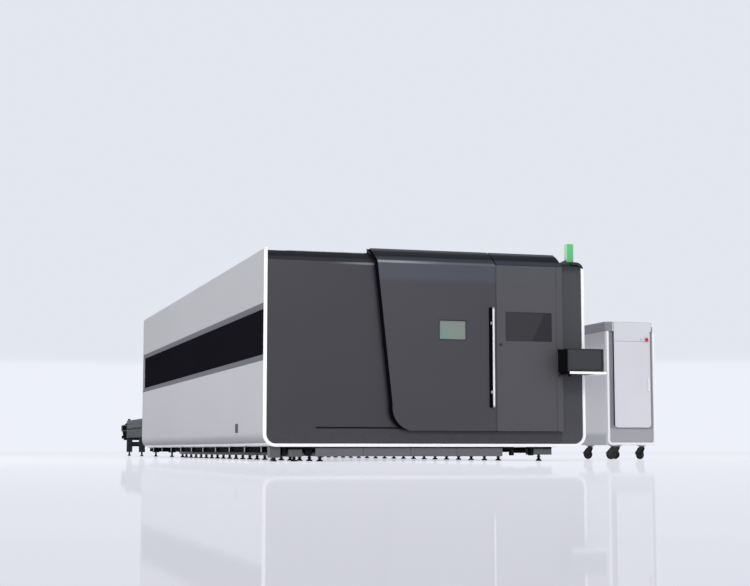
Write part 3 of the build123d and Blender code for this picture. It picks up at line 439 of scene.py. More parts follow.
# The rolled tops of the door and the cabinet's hood: a darker blue-grey than the faces below, as painted
# shade, with a dark band where they turn back (painted shade) and a lighter line near the rim (painted
# highlight).
hood_shade_band = (2.262, 0.018, srgb(24, 26, 31))
hood_highlight_height = 2.345
roll_paint = powder_coat("charcoal rolled edge coat", srgb(55, 58, 66), 0.45, gloss=0.12, crease_highlights=door_crease,
                         tones=[hood_shade_band, (hood_highlight_height, 0.01, srgb(64, 67, 75))])
hood_paint = powder_coat("charcoal hood coat", srgb(55, 58, 66), 0.45, gloss=0.12,
                         tones=[hood_shade_band, (hood_highlight_height, 0.01, srgb(70, 73, 81))])
# The left sheet's rolled top is a darker coat, darker still above 2.23 m: painted shade.
left_roll_paint = powder_coat("charcoal left rolled edge coat", srgb(46, 48, 54), 0.45, gloss=0.12,
                              tones=[(2.23, 0.015, srgb(27, 29, 34))])
# The cabinet coat turns a touch cooler above about 1.95 m: painted reflection.
cabinet_door_paint = powder_coat("charcoal cabinet coat", srgb(74, 73, 77), 0.42,
                                 tones=[(1.95, 0.12, srgb(73, 75, 78))])
# The column's top is painted near black above about 2.17 m: painted shade on its rounded top.
column_paint = powder_coat("charcoal column coat", srgb(63, 63, 67), 0.42,
                           tones=[(2.17, 0.05, srgb(34, 36, 36))])
light_paint = powder_coat("light grey powder coat", srgb(176, 176, 178), 0.55, 0.015, gloss=0.2)
# The lower side coat is darker below about 0.27 m, where the sheet turns in: painted shade.
side_paint = powder_coat("light grey side coat", srgb(150, 150, 152), 0.55, 0.015, gloss=0.15,
                         tones=[(0.27, 0.07, srgb(184, 184, 187))])
roof_paint = powder_coat("roof coat", srgb(182, 182, 186), 0.55)
white_paint = powder_coat("white trim coat", srgb(250, 250, 252), 0.35, 0.005)
black_paint = powder_coat("black coat", srgb(22, 22, 25), 0.5, gloss=0.0)
# Near-black for the door's edge strip and the handle's backing: their own black, made deep enough to stand
# for the shade of the gaps they sit in, so partly painted shade.
strip_black = powder_coat("black strip coat", srgb(12, 12, 15), 0.45, gloss=0.0, dust=0.02)
cheek_paint = powder_coat("door edge cheek coat", srgb(52, 51, 56), tones=[(2.2, 0.02, srgb(12, 12, 15))])
band_fold = powder_coat("grey side fold coat", srgb(100, 100, 105), 0.55, 0.015, gloss=0.1)
band_paint = powder_coat("black band coat", srgb(23, 22, 27), 0.6, gloss=0.0)
apron_paint = powder_coat("apron grey coat", srgb(100, 99, 104), 0.5, dust=0.12)
# The source cabinet's side is painted with light and shade by height: lightest just above 0.34 m, darker
# upwards, darkest above 1.7 m, and darker again at the very bottom.
source_side = powder_coat("source cabinet side coat", srgb(214, 214, 218), 0.5, gloss=0.3,
                          tones=[(0.34, 0.04, srgb(252, 252, 253)), (1.0, 0.4, srgb(234, 234, 238)),
                                 (1.5, 0.2, srgb(196, 195, 201)), (1.706, 0.003, srgb(146, 145, 151))])
source_paint = powder_coat("source cabinet coat", srgb(222, 222, 228), 0.42)
source_grey = powder_coat("source cabinet strip coat", srgb(172, 171, 177), 0.5, gloss=0.3,
                          tones=[(0.41, 0.02, srgb(144, 143, 149))])
source_cover = powder_coat("source cabinet cover coat", srgb(138, 137, 142), 0.5, gloss=0.25)
# Painted shade: the hand grips' recesses and the shaded flanks beside the source cabinet's door.
shadow_paint = powder_coat("dark edge coat", srgb(60, 61, 66), 0.5, gloss=0.1)
console_front_paint = powder_coat("console front coat", srgb(50, 50, 55), 0.42)
console_rim_paint = powder_coat("console rim coat", srgb(30, 30, 34), 0.42)
print("powder coats:", len([m for m in bpy.data.materials if "coat" in m.name]))


def trim_coat():
    """White edge coat. The top of the right corner is painted dark, as the column's cap is: painted shade on
    the rounded top.
    """
    finish = Finish("front trim coat", srgb(250, 250, 252), 0.35)
    low, high = span("right_front_column")
    top = finish.height().between(high.z - 0.075, high.z - 0.068)
    at_right = finish.axis("X").between(spot(low.x, 0, 0).x, spot(low.x + 0.01, 0, 0).x)
    finish.set("Base Color", finish.mix(top * at_right, srgb(250, 250, 252), srgb(26, 27, 29)))
    finish.set("Roughness", 0.32 + finish.noise(3, 2) * 0.08)
    finish.bump(finish.noise(420, 1), 0.03, 0.0006)
    return finish.material


edge_trim_paint = trim_coat()


def underside_coat():
    """The console tray from below: black over the machine's front, white beyond its edge."""
    black = srgb(24, 24, 27)
    finish = Finish("tray underside coat", black, 0.5)
    front_end = 3.73
    edge = spot(front_end, 0, 0).x
    beyond = finish.axis("X").between(edge - 0.002, edge + 0.002)
    finish.set("Base Color", finish.mix(beyond, black, srgb(240, 240, 243)))
    finish.set("Roughness", 0.45 + finish.noise(3, 2) * 0.1)
    return finish.material


underside_paint = underside_coat()

# %% [markdown]
# The welded steel of the bed and table is sprayed thick and gets knocked: the coat is chipped to
# bare metal in small spots, and grease and cutting dust darken it.

# %% Machine enamel
def enamel(name, colour, chips=0.5, gloss=0.35, grimy=0.45):
    finish = Finish(name, colour, 0.5, specular_ior_level=gloss)
    cloud = finish.noise(2.2, 4)
    spots = finish.noise(34, 3).between(0.66, 0.72) * cloud.between(0.4, 0.6) * chips
    grime = finish.noise(7, 4).between(0.5, 0.8)
    tone = finish.mix(grime * grimy, colour, shade(colour, 0.5))
    finish.set("Base Color", finish.mix(spots, tone, srgb(150, 148, 145)))
    finish.set("Metallic", spots)
    finish.set("Roughness", 0.42 + grime * 0.25)
    finish.bump(finish.noise(160, 2) - spots * 0.5, 0.15, 0.001)
    return finish.material


frame_enamel = enamel("bed enamel", srgb(88, 91, 92))
table_enamel = enamel("table enamel", srgb(70, 75, 76), chips=0.15, gloss=0.05, grimy=0.25)
pallet_enamel = enamel("pallet enamel", srgb(72, 77, 79), chips=0.3, gloss=0.1)
leg_enamel = enamel("table leg enamel", srgb(54, 59, 61), chips=0.1, gloss=0.0, grimy=0.25)
black_enamel = enamel("black bracket enamel", srgb(20, 23, 26), chips=0.1, gloss=0.0)
cross_enamel = enamel("pale cross member enamel", srgb(150, 151, 154), chips=0.1, gloss=0.2)
gantry_enamel = enamel("gantry enamel", srgb(150, 152, 156), chips=0.2)
motor_enamel = enamel("motor enamel", srgb(70, 78, 92), chips=0.3)


# %% [markdown]
# Bare steel comes three ways here: ground rails with fine lines along them, turned and zinc
# plated small parts, and the toothed slats, which the beam burns blue and brown and covers in
# slag. The lines are noise squeezed across the grain.

# %% Metals
def ground_steel(name, colour, grain, roughness=0.28, metallic=1.0):
    finish = Finish(name, colour, roughness, metallic=metallic)
    lines = finish.noise(26, 3, grain)
    smear = finish.noise(3, 3)
    finish.set("Base Color", finish.mix(smear.between(0.35, 0.7), shade(colour, 0.82), colour))
    finish.set("Roughness", (roughness - 0.08 + lines * 0.16 + smear * 0.08).clamp())
    finish.bump(lines, 0.08, 0.0004)
    return finish.material


def burnt_steel(name):
    finish = Finish(name, srgb(120, 115, 110), 0.6, metallic=0.8)
    heat = finish.noise(5, 4)
    scale = finish.noise(38, 4)
    slag = finish.noise(90, 2).between(0.6, 0.7)
    warm = finish.mix(heat.between(0.35, 0.65), srgb(128, 124, 120), srgb(98, 72, 54))
    blue = finish.mix(scale.between(0.55, 0.75), warm, srgb(64, 66, 78))
    finish.set("Base Color", finish.mix(slag, blue, srgb(38, 35, 33)))
    finish.set("Metallic", 0.85 - slag * 0.8)
    finish.set("Roughness", 0.45 + slag * 0.4)
    finish.bump(scale * 0.4 + slag, 0.5, 0.002)
    return finish.material


rail_steel = ground_steel("ground rail steel", srgb(196, 197, 198), (40, 1, 40))
bar_steel = ground_steel("satin handle steel", srgb(246, 246, 248), (40, 40, 1), 0.4, 0.35)
zinc_steel = ground_steel("zinc plated steel", srgb(176, 178, 178), (6, 6, 6), 0.35)
dark_steel = ground_steel("oiled steel", srgb(74, 73, 72), (8, 8, 8), 0.42)
slat_steel = burnt_steel("burnt slat steel")
copper = ground_steel("nozzle copper", srgb(200, 120, 76), (1, 1, 30), 0.25)
print("metals ready")

# %% [markdown]
# Plastics, rubber and glass. The door's window is laser safety glass, green all through and
# coated, so it shows the same green in any light. The screen is off: black glass with a sheen.

# %% Plastics, rubber and glass
def plastic(name, colour, roughness, grain=0.1):
    finish = Finish(name, colour, roughness, specular_ior_level=0.5)
    cloud = finish.noise(14, 3)
    finish.set("Base Color", finish.mix(cloud, shade(colour, 0.92), shade(colour, 1.06)))
    finish.set("Roughness", (roughness - 0.04 + cloud * 0.1).clamp())
    finish.bump(finish.noise(900, 1), grain, 0.0003)
    return finish.material


rubber = plastic("black rubber", srgb(26, 26, 28), 0.75, 0.3)
hub_plastic = plastic("hub plastic", srgb(46, 46, 50), 0.5)
stop_red = plastic("stop button red", srgb(206, 38, 40), 0.3)
ring_yellow = plastic("stop ring yellow", srgb(226, 178, 32), 0.4)
pilot_green = plastic("pilot lamp green", srgb(70, 190, 120), 0.25)
black_plastic = plastic("black plastic", srgb(30, 30, 33), 0.45)
lamp_plastic = plastic("lamp foot plastic", srgb(54, 64, 56), 0.5)
grey_plastic = plastic("grey plastic", srgb(120, 121, 126), 0.5)


def safety_glass():
    finish = Finish("laser safety glass", srgb(122, 138, 127), 0.2, specular_ior_level=0.3)
    low, high = span("door_window")
    across = finish.axis("X").between(spot(low.x, 0, 0).x, spot(high.x, 0, 0).x)
    rise = finish.height().between(low.z, high.z)
    # Over its own green the pane is painted greyer towards the right and the top: painted reflection.
    lower = finish.mix(across, srgb(112, 142, 130), srgb(124, 134, 124))
    finish.set("Base Color", finish.mix(rise, lower, srgb(126, 132, 126)))
    finish.set("Roughness", 0.18 + finish.noise(20, 2) * 0.06)
    return finish.material


def dark_screen():
    """Black glass with a painted reflection: its upper left is lighter than its lower right, along a
    slanting edge.
    """
    finish = Finish("screen glass", srgb(56, 55, 58), 0.2, specular_ior_level=0.3)
    low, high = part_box("monitor")
    across = (finish.axis("X") - low.x) * (1 / (high.x - low.x))
    up = (finish.height() - low.z) * (1 / (high.z - low.z))
    slant = (across - up * 0.3).between(0.545, 0.555)
    finish.set("Base Color", finish.mix(slant, srgb(50, 49, 52), srgb(36, 35, 40)))
    finish.set("Roughness", 0.18 + finish.noise(30, 2) * 0.05)
    return finish.material


def lamp_glass():
    """Ribbed green plastic that glows a little: all its lamps are lit."""
    finish = Finish("lamp lens", srgb(88, 182, 116), 0.3, specular_ior_level=0.4)
    ribs = finish.axis("X") * (2 * math.pi / 0.011)
    wave = ribs.math("SINE", ribs).between(-1, 1)
    finish.set("Base Color", finish.mix(wave, srgb(84, 178, 112), srgb(96, 190, 124)))
    finish.set("Emission Color", (*srgb(90, 200, 130), 1))
    finish.set("Emission Strength", 0.08)
    finish.bump(wave, 0.2, 0.001)
    return finish.material


# The lens's left face is painted pale green: a painted highlight of the lit lamp.
lens_highlight = plastic("pale lens side", srgb(196, 228, 202), 0.35)
window_glass = safety_glass()
screen_glass = dark_screen()
lens_glass = lamp_glass()
print("materials:", len(bpy.data.materials))

# %% [markdown]
# The camera stands where the photographer's would: a hand above the floor, left of the machine,
# looking right and slightly up through a short telephoto lens. Its place was worked out from the
# corners of the enclosure, which is a box with known edges.

# %% Camera
camera_place = spot(-3.431, -15.831, 0.123)
camera_turn = 16.465
camera_tilt = 5.969
camera_lens = 72.08

bpy.ops.object.camera_add(location=camera_place)
camera = bpy.context.object
camera.rotation_euler = (math.radians(90 + camera_tilt), 0, -math.radians(camera_turn))
camera.data.lens = camera_lens
camera.data.sensor_width = 36
camera.data.clip_end = 400
bpy.context.scene.camera = camera
bpy.context.scene.view_settings.view_transform = "Standard"
print("camera at", tuple(round(value, 2) for value in camera.location))

# %% [markdown]
# The studio is a pale polished floor and an even sky. The floor keeps the machine's shadow and a
# faint, sharp mirror image of it. What the camera, mirrors and glass see of the sky is the picture's
# pale backdrop, lighter below a soft line and dark far overhead, where a studio's ceiling would be:
# its reflection darkens the rolled hood, whose dark band is also painted into the hood's coat as painted
# shade. The light that the sky casts is plain.

# %% Floor and sky
sky_upper = srgb(227, 231, 240)
sky_lower = srgb(238, 241, 250)
ceiling = srgb(70, 72, 80)
sky_stops = [(0.0, sky_lower), (0.0569 - 0.0025, sky_lower), (0.0569 + 0.0025, sky_upper),
             (0.4, sky_upper), (0.7, ceiling)]
floor_near = srgb(212, 213, 223)
floor_far = srgb(243, 244, 252)
sky_light = 0.8


def seen_rays(finish):
    """1 for what the camera, a mirror or glass sees, 0 for the light on things."""
    seen = finish.add("ShaderNodeLightPath", {}, {}, "Is Camera Ray")
    for kind in ("Is Glossy Ray", "Is Transmission Ray"):
        seen = seen.math("MAXIMUM", seen, finish.add("ShaderNodeLightPath", {}, {}, kind))
    return seen


def floor_finish():
    finish = Finish("studio floor", floor_far, 0.6)
    # The floor is painted darker towards the front, from 17 m before the corner to 5 m behind it: painted
    # shade.
    reach = finish.axis("Y").between(spot(0, -17, 0).y, spot(0, 5, 0).y)
    colour = finish.mix(reach, floor_near, floor_far)
    plain = finish.add("ShaderNodeBsdfDiffuse", {}, {"Color": colour}, "BSDF")
    glow = finish.add("ShaderNodeEmission", {}, {"Color": colour, "Strength": 1.0}, "Emission")
    mirror = finish.add("ShaderNodeBsdfGlossy", {}, {"Color": (1, 1, 1, 1), "Roughness": 0.03}, "BSDF")
    lit = finish.add("ShaderNodeMixShader", {}, {0: 0.3, 1: glow, 2: plain})
    polished = finish.add("ShaderNodeMixShader", {}, {0: 0.155, 1: lit, 2: mirror})
    surface = finish.add("ShaderNodeMixShader", {}, {0: seen_rays(finish), 1: plain, 2: polished})
    finish.tree.links.new(surface.socket, finish.tree.nodes["Material Output"].inputs["Surface"])
    return finish.material


class Sky(Finish):
    """The world's shader, written the same way."""

    def __init__(self):
        self.world = bpy.data.worlds.new("studio sky")
        self.world.use_nodes = True
        self.tree = self.world.node_tree
        self.place = self.add("ShaderNodeTexCoord", {}, {}, "Generated")
        ramp = self.add("ShaderNodeValToRGB", {"stops": sky_stops}, {"Fac": self.axis("Z")})
        seen = self.add("ShaderNodeBackground", {}, {"Color": ramp, "Strength": 1.0})
        light = self.add("ShaderNodeBackground", {}, {"Color": (0.97, 0.98, 1, 1), "Strength": sky_light})
        surface = self.add("ShaderNodeMixShader", {}, {0: seen_rays(self), 1: light, 2: seen})
        self.tree.links.new(surface.socket, self.tree.nodes["World Output"].inputs["Surface"])


bpy.ops.mesh.primitive_plane_add(size=160, location=spot(0, 8, 0))
floor = bpy.context.object
floor.name = "studio_floor"
settle(floor)
floor.data.materials.append(floor_finish())
bpy.context.scene.world = Sky().world
print("floor and sky ready")

# %% [markdown]
# Three large soft lamps: a weak one over the machine, one far off in front and to the left, outside
# the mirror direction of the window and the screen, and one at the left for the long side.

# %% Lamps
def lamp(name, place, target, size, energy):
    bpy.ops.object.light_add(type="AREA", location=spot(*place))
    light = bpy.context.object
    light.name = name
    light.data.shape = "RECTANGLE"
    light.data.size, light.data.size_y = size
    light.data.energy = energy
    light.rotation_euler = (spot(*target) - spot(*place)).to_track_quat("-Z", "Y").to_euler()
    return light


lamp("overhead lamp", (2, 6, 12), (2, 6, 0), (12, 20), 260)
lamp("front lamp", (-1, -16, 10), (3, 0, 1), (10, 4), 1100)
lamp("left lamp", (-14, 2, 6), (0, 5, 1), (14, 5), 550)

# %% [markdown]
# Most sheet parts already have the right shape from CAD. They still look like paper: every real
# folded edge is round and catches the light. So each is copied, its loose triangles are merged,
# flat areas are cleaned up, and its edges are rounded. The copy then stands for the CAD part.

# %% Dressing the CAD parts
def merged_copy(name, nodes):
    """The meshes of some CAD nodes as one clean mesh."""
    copies = []
    for node in nodes:
        twin = bpy.data.objects.new(name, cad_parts[node].data.copy())
        twin.data.materials.clear()
        bpy.context.scene.collection.objects.link(twin)
        copies.append(twin)
    piece = join(name, copies)
    with editing(piece, "VERT"):
        bpy.ops.mesh.select_all(action="SELECT")
        bpy.ops.mesh.remove_doubles(threshold=0.00002)
        bpy.ops.mesh.dissolve_limited(angle_limit=math.radians(0.4))
    return piece


def hand_in(piece, body, slot, *materials, stands_for=()):
    """Give a piece its finishes and its body, and hide the CAD nodes that it stands for."""
    for material in materials:
        piece.data.materials.append(material)
    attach(piece, body)
    if stands_for:
        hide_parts(*stands_for)
    return piece


def dress(name, nodes, body, slot, material, edge=0.003, segments=2):
    nodes = nodes if isinstance(nodes, tuple) else (nodes,)
    piece = merged_copy(name, nodes)
    soften(piece, edge, segments)
    return hand_in(piece, body, slot, material, stands_for=nodes)


print("dressing kit ready")

# %% [markdown]
# The front first, because it faces the camera: two fixed charcoal sheets, a sliding door with a
# rolled hood between them, and the control cabinet's hood, all inside one white edge. A brush lies
# behind the door's guide slot, and a seal closes the gap between the door and the cabinet.

# %% Front
left_sheet = dress("left_fixed_sheet", "left_front_panel", "machine", "dark_panel", left_paint, 0.004, 3)
left_crease_height = 2.185
# The left sheet's upward faces above the crease take that darker coat: painted shade.
paint(left_sheet, left_roll_paint, lambda place, normal: normal.z > 0.2 and place.z > left_crease_height)
dress("plinth_sheet", "plinth_panel", "machine", "dark_panel", left_paint)
dress("right_column_sheet", "right_front_column", "machine", "dark_panel", column_paint)
# The cabinet's hood carries the same painted shade and painted rim highlight.
dress("cabinet_hood", "right_hood", "machine", "dark_panel", hood_paint)
dress("edge_trim_front", "front_trim", "machine", "white_trim", edge_trim_paint, 0.004, 3)
crease_height = span("cabinet_door")[1].z + 0.002
door_sheet = dress("sliding_door", "door_panel", "front_door", "dark_panel", door_paint, 0.005, 3)
# The door's rolled top, where it faces up, takes the darker coat: painted shade.
paint(door_sheet, roll_paint, lambda place, normal: normal.z > 0.2 and place.z > crease_height)
door_edge = dress("sliding_door_edge", "door_edge_strip", "front_door", "black_panel", strip_black, 0.002)
paint(door_edge, cheek_paint, lambda place, normal: normal.x < -0.9)
dress("sliding_door_pane", "door_window", "front_door", "viewing_pane", window_glass, 0.001)
dress("handle_plate", "handle_backing", "front_door", "black_panel", strip_black, 0.001)
dress("handle_bar", "door_handle", "front_door", "handle_metal", bar_steel, 0.003, 3)
dress("hangers", "door_hangers", "front_door", "bare_steel", zinc_steel, 0.001)

door_face = span("door_panel")[0].y
sheet_thickness = 0.022
slot_start = 0.42
brush_low, brush_high = 0.345, 0.383


def slot_brush():
    """A black brush behind the slot that guides the door's foot, so that no light shows through."""
    back = span("left_front_panel")[0].y + sheet_thickness
    last = span("left_front_panel")[1].x - 0.01
    strip = block("slot_brush", (slot_start, back, brush_low), (last, back + 0.008, brush_high))
    with editing(strip):
        choose_faces(strip, lambda place, normal: normal.y > 0.9)
        bpy.ops.mesh.inset(thickness=0.004)
        bpy.ops.transform.translate(value=(0, 0.003, 0))
    soften(strip, 0.001)
    return strip


hand_in(slot_brush(), "machine", "black_panel", rubber)


def meeting_seal():
    """The seal on the cabinet's left edge, which the sliding door closes against."""
    door_right, cabinet_left = span("door_panel")[1].x, span("cabinet_door")[0].x
    low, high = span("cabinet_door")[0].z + 0.004, span("cabinet_door")[1].z - 0.004
    lip = block("lip", (door_right + 0.002, door_face + 0.003, low), (cabinet_left - 0.0015, -0.012, high))
    foot = block("foot", (door_right + 0.004, -0.014, low), (cabinet_left + 0.001, 0.004, high))
    soften(lip, 0.0015)
    soften(foot, 0.001)
    return join("meeting_seal", [lip, foot])


hand_in(meeting_seal(), "machine", "dark_panel", door_paint)
pane_low, pane_high = span("door_window")
gasket = ring("pane_gasket", (pane_low.x - 0.004, pane_high.x + 0.004),
              (pane_low.z - 0.004, pane_high.z + 0.004), door_face, 0.009, 0.002)
soften(gasket, 0.0008)
hand_in(gasket, "front_door", "black_panel", rubber)

post_heights = (0.768, 1.544)


def handle_fittings():
    """Turned caps at both ends of the bar and a collar around each post."""
    low, high = span("door_handle")
    plate = span("handle_backing")[0].y
    centre = (low.x + high.x) / 2
    radius = (high.x - low.x) / 2
    bar_y = low.y + radius
    parts = []
    cap = [(0, 0), (radius + 0.001, 0), (radius + 0.002, 0.003), (radius + 0.002, 0.018),
           (radius + 0.0005, 0.02), (0, 0.02)]
    parts.append(turned("cap", cap, (centre, bar_y, high.z - 0.0199)))
    parts.append(turned("cap", cap, (centre, bar_y, low.z + 0.0199), (0, 0, -1)))
    collar = [(0.0085, 0), (0.02, 0), (0.02, 0.004), (0.016, 0.007), (0.0085, 0.007)]
    for z in post_heights:
        parts.append(turned("collar", collar, (centre, plate, z), (0, -1, 0)))
    return join("handle_fittings", parts)


hand_in(handle_fittings(), "front_door", "handle_metal", zinc_steel)
print("front dressed")

# %% [markdown]
# The long sides are sheets with a dark band between two grey folds. Under them runs the white trim, and
# below it hang the black boxes, the grey apron and the feet.

# %% Sides, roof and rear
body_width = 3.76
upper_fold, lower_fold = 1.72, 1.08
grip_y, grip_z, grip_depth = (1.37, 1.58), (0.31, 0.44), (0.003, 0.02)


def in_grip(place):
    """Whether a point lies inside the hand grip of a lower side panel."""
    depth = min(place.x, body_width - place.x)
    return (grip_y[0] < place.y < grip_y[1] and grip_z[0] < place.z < grip_z[1]
            and grip_depth[0] < depth < grip_depth[1])


for side in ("left", "right"):
    upper = dress(f"{side}_upper_wall", f"{side}_upper_panel", "machine", "light_panel", light_paint, 0.004)
    paint(upper, band_fold, lambda place, normal: place.z < upper_fold and normal.z < -0.3)
    lower = dress(f"{side}_lower_wall", f"{side}_lower_panel", "machine", "light_panel", side_paint, 0.004)
    paint(lower, band_fold, lambda place, normal: place.z > lower_fold and normal.z > 0.3)
    paint(lower, shadow_paint, lambda place, normal: in_grip(place))
dress("edge_trim_bottom", "bottom_trims", "machine", "white_trim", white_paint)
dress("side_band_pair", "side_bands", "machine", "black_panel", band_paint)
dress("roof_sheet", "roof_panel", "machine", "light_panel", roof_paint)
dress("rear_sheet", "rear_wall", "machine", "light_panel", light_paint)
dress("pallet_door", "rear_lift_door", "rear_lift_door", "carriage_paint", gantry_enamel)
dress("inner_frame", "enclosure_frame", "machine", "frame_grey", frame_enamel)


def hex_bolt(place, direction, radius=0.009):
    """A hexagon head on a washer, standing on a surface."""
    foot, way = Vector(place), Vector(direction)
    washer = drum("washer", foot, foot + way * 0.0015, radius * 1.3, 20)
    head = drum("head", foot + way * 0.0015, foot + way * radius * 0.75, radius, 6, radius * 0.92)
    return join("hex_bolt", [washer, head])


def roof_joints():
    """Flat strips over the joints of the roof's sheets, and the bolts that hold them."""
    low, high = span("roof_panel")
    parts = []
    joints = 4
    for index in range(1, joints):
        y = low.y + index * (high.y - low.y) / joints
        strip = block("strip", (low.x + 0.01, y - 0.03, high.z), (high.x - 0.01, y + 0.03, high.z + 0.002))
        bolt = row(hex_bolt((low.x + 0.15, y, high.z + 0.002), (0, 0, 1)), 10, (0.366, 0, 0))
        parts += [strip, bolt]
    return join("roof_joints", parts)


hand_in(roof_joints(), "machine", "light_panel", roof_paint)


def rear_bolts():
    """Bolts along both sides and the top of the rear wall."""
    low, high = span("rear_wall")
    back = high.y
    first = (low.x + 0.12, back, low.z + 0.2)
    side = row(hex_bolt(first, (0, 1, 0)), 6, (0, 0, 0.36))
    far = copy(side, (high.x - low.x - 0.24, 0, 0))
    top = row(hex_bolt((low.x + 0.3, back, high.z - 0.05), (0, 1, 0)), 9, (0.395, 0, 0))
    return join("rear_bolts", [side, far, top])


hand_in(rear_bolts(), "machine", "bare_steel", zinc_steel)
print("sides, roof and rear dressed")

# %% [markdown]
# Underneath, the base rails stand on levelling feet, each with a lock nut on its stud.

# %% Under the machine
cross_z, cross_start = (0.095, 0.16), 0.4


def on_cross_member(place):
    """Whether a point lies at the height of the bed's cross members, clear of the front."""
    return cross_z[0] < place.z < cross_z[1] and place.y > cross_start


bed = dress("bed", "bed_frame", "machine", "frame_grey", frame_enamel, 0.005)
paint(bed, black_enamel, lambda place, normal: on_cross_member(place))
paint(bed, cross_enamel, lambda place, normal: on_cross_member(place) and abs(normal.x) > 0.9)
dress("apron", "slag_apron", "machine", "frame_grey", apron_paint)
dress("skirts", "side_skirts", "machine", "black_panel", black_paint)
dress("rails_and_racks", "linear_rails", "machine", "bare_steel", rail_steel, 0.0015)
dress("feet", "levelling_feet", "machine", "bare_steel", black_paint, 0.001)


def foot_nuts():
    """A lock nut on every foot's stud."""
    nut = drum("nut", (0, 0, 0), (0, 0, 0.009), 0.024, 6)
    soften(nut, 0.0015)
    places = [((low.x + high.x) / 2, (low.y + high.y) / 2, high.z * 0.62)
              for low, high in solids_of("levelling_feet")]
    return scatter("foot_nuts", nut, places)


hand_in(foot_nuts(), "machine", "bare_steel", dark_steel)
print("underside dressed")

# %% [markdown]
# The control cabinet, its screen and lock, and the console on its pivot.

# %% Control cabinet and console
cabinet = dress("cabinet_box", "cabinet_shell", "machine", "light_panel", light_paint)
stile_left = span("cabinet_door")[1].x
paint(cabinet, cabinet_door_paint, lambda place, normal: place.y < -0.002 and place.x > stile_left)
paint(cabinet, dark_steel, lambda place, normal: place.y < door_face - 0.0005)
dress("cabinet_gear", "cabinet_devices", "machine", "device_grey", grey_plastic)
dress("cabinet_front", "cabinet_door", "cabinet_door", "cabinet_door_paint", cabinet_door_paint)
dress("screen_unit", "monitor", "cabinet_door", "screen", screen_glass, 0.001)
dress("cabinet_key", "cabinet_lock", "cabinet_lock", "bare_steel", black_plastic, 0.001)
front_low, front_high = span("cabinet_door")
hinge_seal = block("hinge_seal", (front_high.x - 0.001, door_face + 0.0015, front_low.z + 0.003),
                   (front_high.x + 0.0045, door_face + 0.008, front_high.z - 0.003))
soften(hinge_seal, 0.0008)
hand_in(hinge_seal, "cabinet_door", "cabinet_door_paint", cabinet_door_paint)
screen_low, screen_high = span("monitor")
bezel = ring("screen_bezel", (screen_low.x + 0.011, screen_high.x - 0.011),
             (screen_low.z + 0.011, screen_high.z - 0.011), door_face, 0.006, 0.001)
soften(bezel, 0.0004)
hand_in(bezel, "cabinet_door", "screen", black_plastic)

lock_low, lock_high = span("cabinet_lock")
lock_x = (lock_low.x + lock_high.x) / 2
lock_z = 1.302
slot_piece = block("key_slot", (lock_x - 0.0015, lock_low.y - 0.0012, lock_z - 0.008),
                   (lock_x + 0.0015, lock_low.y + 0.001, lock_z + 0.008))
soften(slot_piece, 0.0004)
hand_in(slot_piece, "cabinet_lock", "bare_steel", black_paint)

console = dress("console_case", "console_box", "console", "console_paint", console_rim_paint, 0.004, 3)
console_low, console_high = span("console_box")
paint(console, console_front_paint, lambda place, normal: normal.y < -0.9
      and place.y > console_low.y + 0.003 and place.y < console_low.y + 0.01)
# The console's left side is painted black: painted shade on its shaded flank.
paint(console, black_paint, lambda place, normal: normal.x < -0.5)
tray = dress("console_shelf", "console_tray", "console", "white_trim", white_paint, 0.004, 3)
# The tray's left side continues that flank in black: painted shade.
paint(tray, black_paint, lambda place, normal: normal.x < -0.2 and place.x < console_low.x + 0.03)
paint(tray, underside_paint, lambda place, normal: normal.z < -0.8)
dress("console_stop", "console_estop", "console_estop", "stop_red", stop_red, 0.002)
stop_low, stop_high = span("console_estop")
stop_middle = (stop_low + stop_high) / 2
collar = turned("console_stop_ring", [(0.014, 0), (0.03, 0), (0.03, 0.003), (0.027, 0.006), (0.014, 0.006)],
                (console_high.x, stop_middle.y, stop_middle.z), (1, 0, 0))
hand_in(collar, "console", "console_paint", ring_yellow)
dress("lamp_foot", "lamp_base", "machine", "black_panel", lamp_plastic)
lens = dress("lamp_lens_part", "lamp_lens", "machine", "lamp_green", lens_glass, 0.006, 4)
# Its left face gets the pale painted highlight.
paint(lens, lens_highlight, lambda place, normal: normal.x < -0.8)
print("control cabinet dressed")

# %% [markdown]
# Inside, the gantry runs along the bed and the carriage along the gantry. The head is dark
# anodised with a copper nozzle at its tip.

# %% Gantry and head
gantry = dress("gantry", "gantry_beam", "gantry", "frame_grey", gantry_enamel, 0.004)
rail_y, rail_top, motor_bottom = 0.8205, 1.4, 1.461
paint(gantry, rail_steel, lambda place, normal: place.y > rail_y and place.z < rail_top)
paint(gantry, motor_enamel, lambda place, normal: place.z > motor_bottom)
dress("cross_carriage", "carriage", "carriage", "carriage_paint", motor_enamel)
head = dress("laser_head", "cutting_head", "cutting_head", "head_metal", zinc_steel, 0.002)
head_tip = span("cutting_head")[0].z
nozzle_top = head_tip + 0.031
dark_z, dark_y = (head_tip + 0.092, head_tip + 0.32), 0.9
paint(head, copper, lambda place, normal: place.z < nozzle_top)
paint(head, dark_steel, lambda place, normal: dark_z[0] < place.z < dark_z[1] and place.y > dark_y)


def fins(node, low_z, high_z, radius, count):
    """Cooling fins around the upright motors of a CAD node."""
    rings = []
    for low, high in solids_of(node):
        if high.z < high_z:
            continue
        centre = ((low.x + high.x) / 2, (low.y + high.y) / 2, low_z)
        inner = radius - 0.008
        fin = turned("fin", [(inner, 0), (radius, 0), (radius, 0.003), (inner, 0.003)], centre)
        rings.append(row(fin, count, (0, 0, (high_z - low_z) / count)))
    return join(f"{node}_fins", rings)


motor_fins = fins("gantry_beam", low_z=1.48, high_z=1.61, radius=0.057, count=13)
hand_in(motor_fins, "gantry", "frame_grey", motor_enamel)
print("gantry dressed")

# %% [markdown]
# The pallets. Each slat is a thin plate with a row of teeth, and the sheet to be cut lies on their
# tips. One slat is drawn, given its thickness and repeated along the pallet.

# %% Pallets
slat_thickness = 0.004


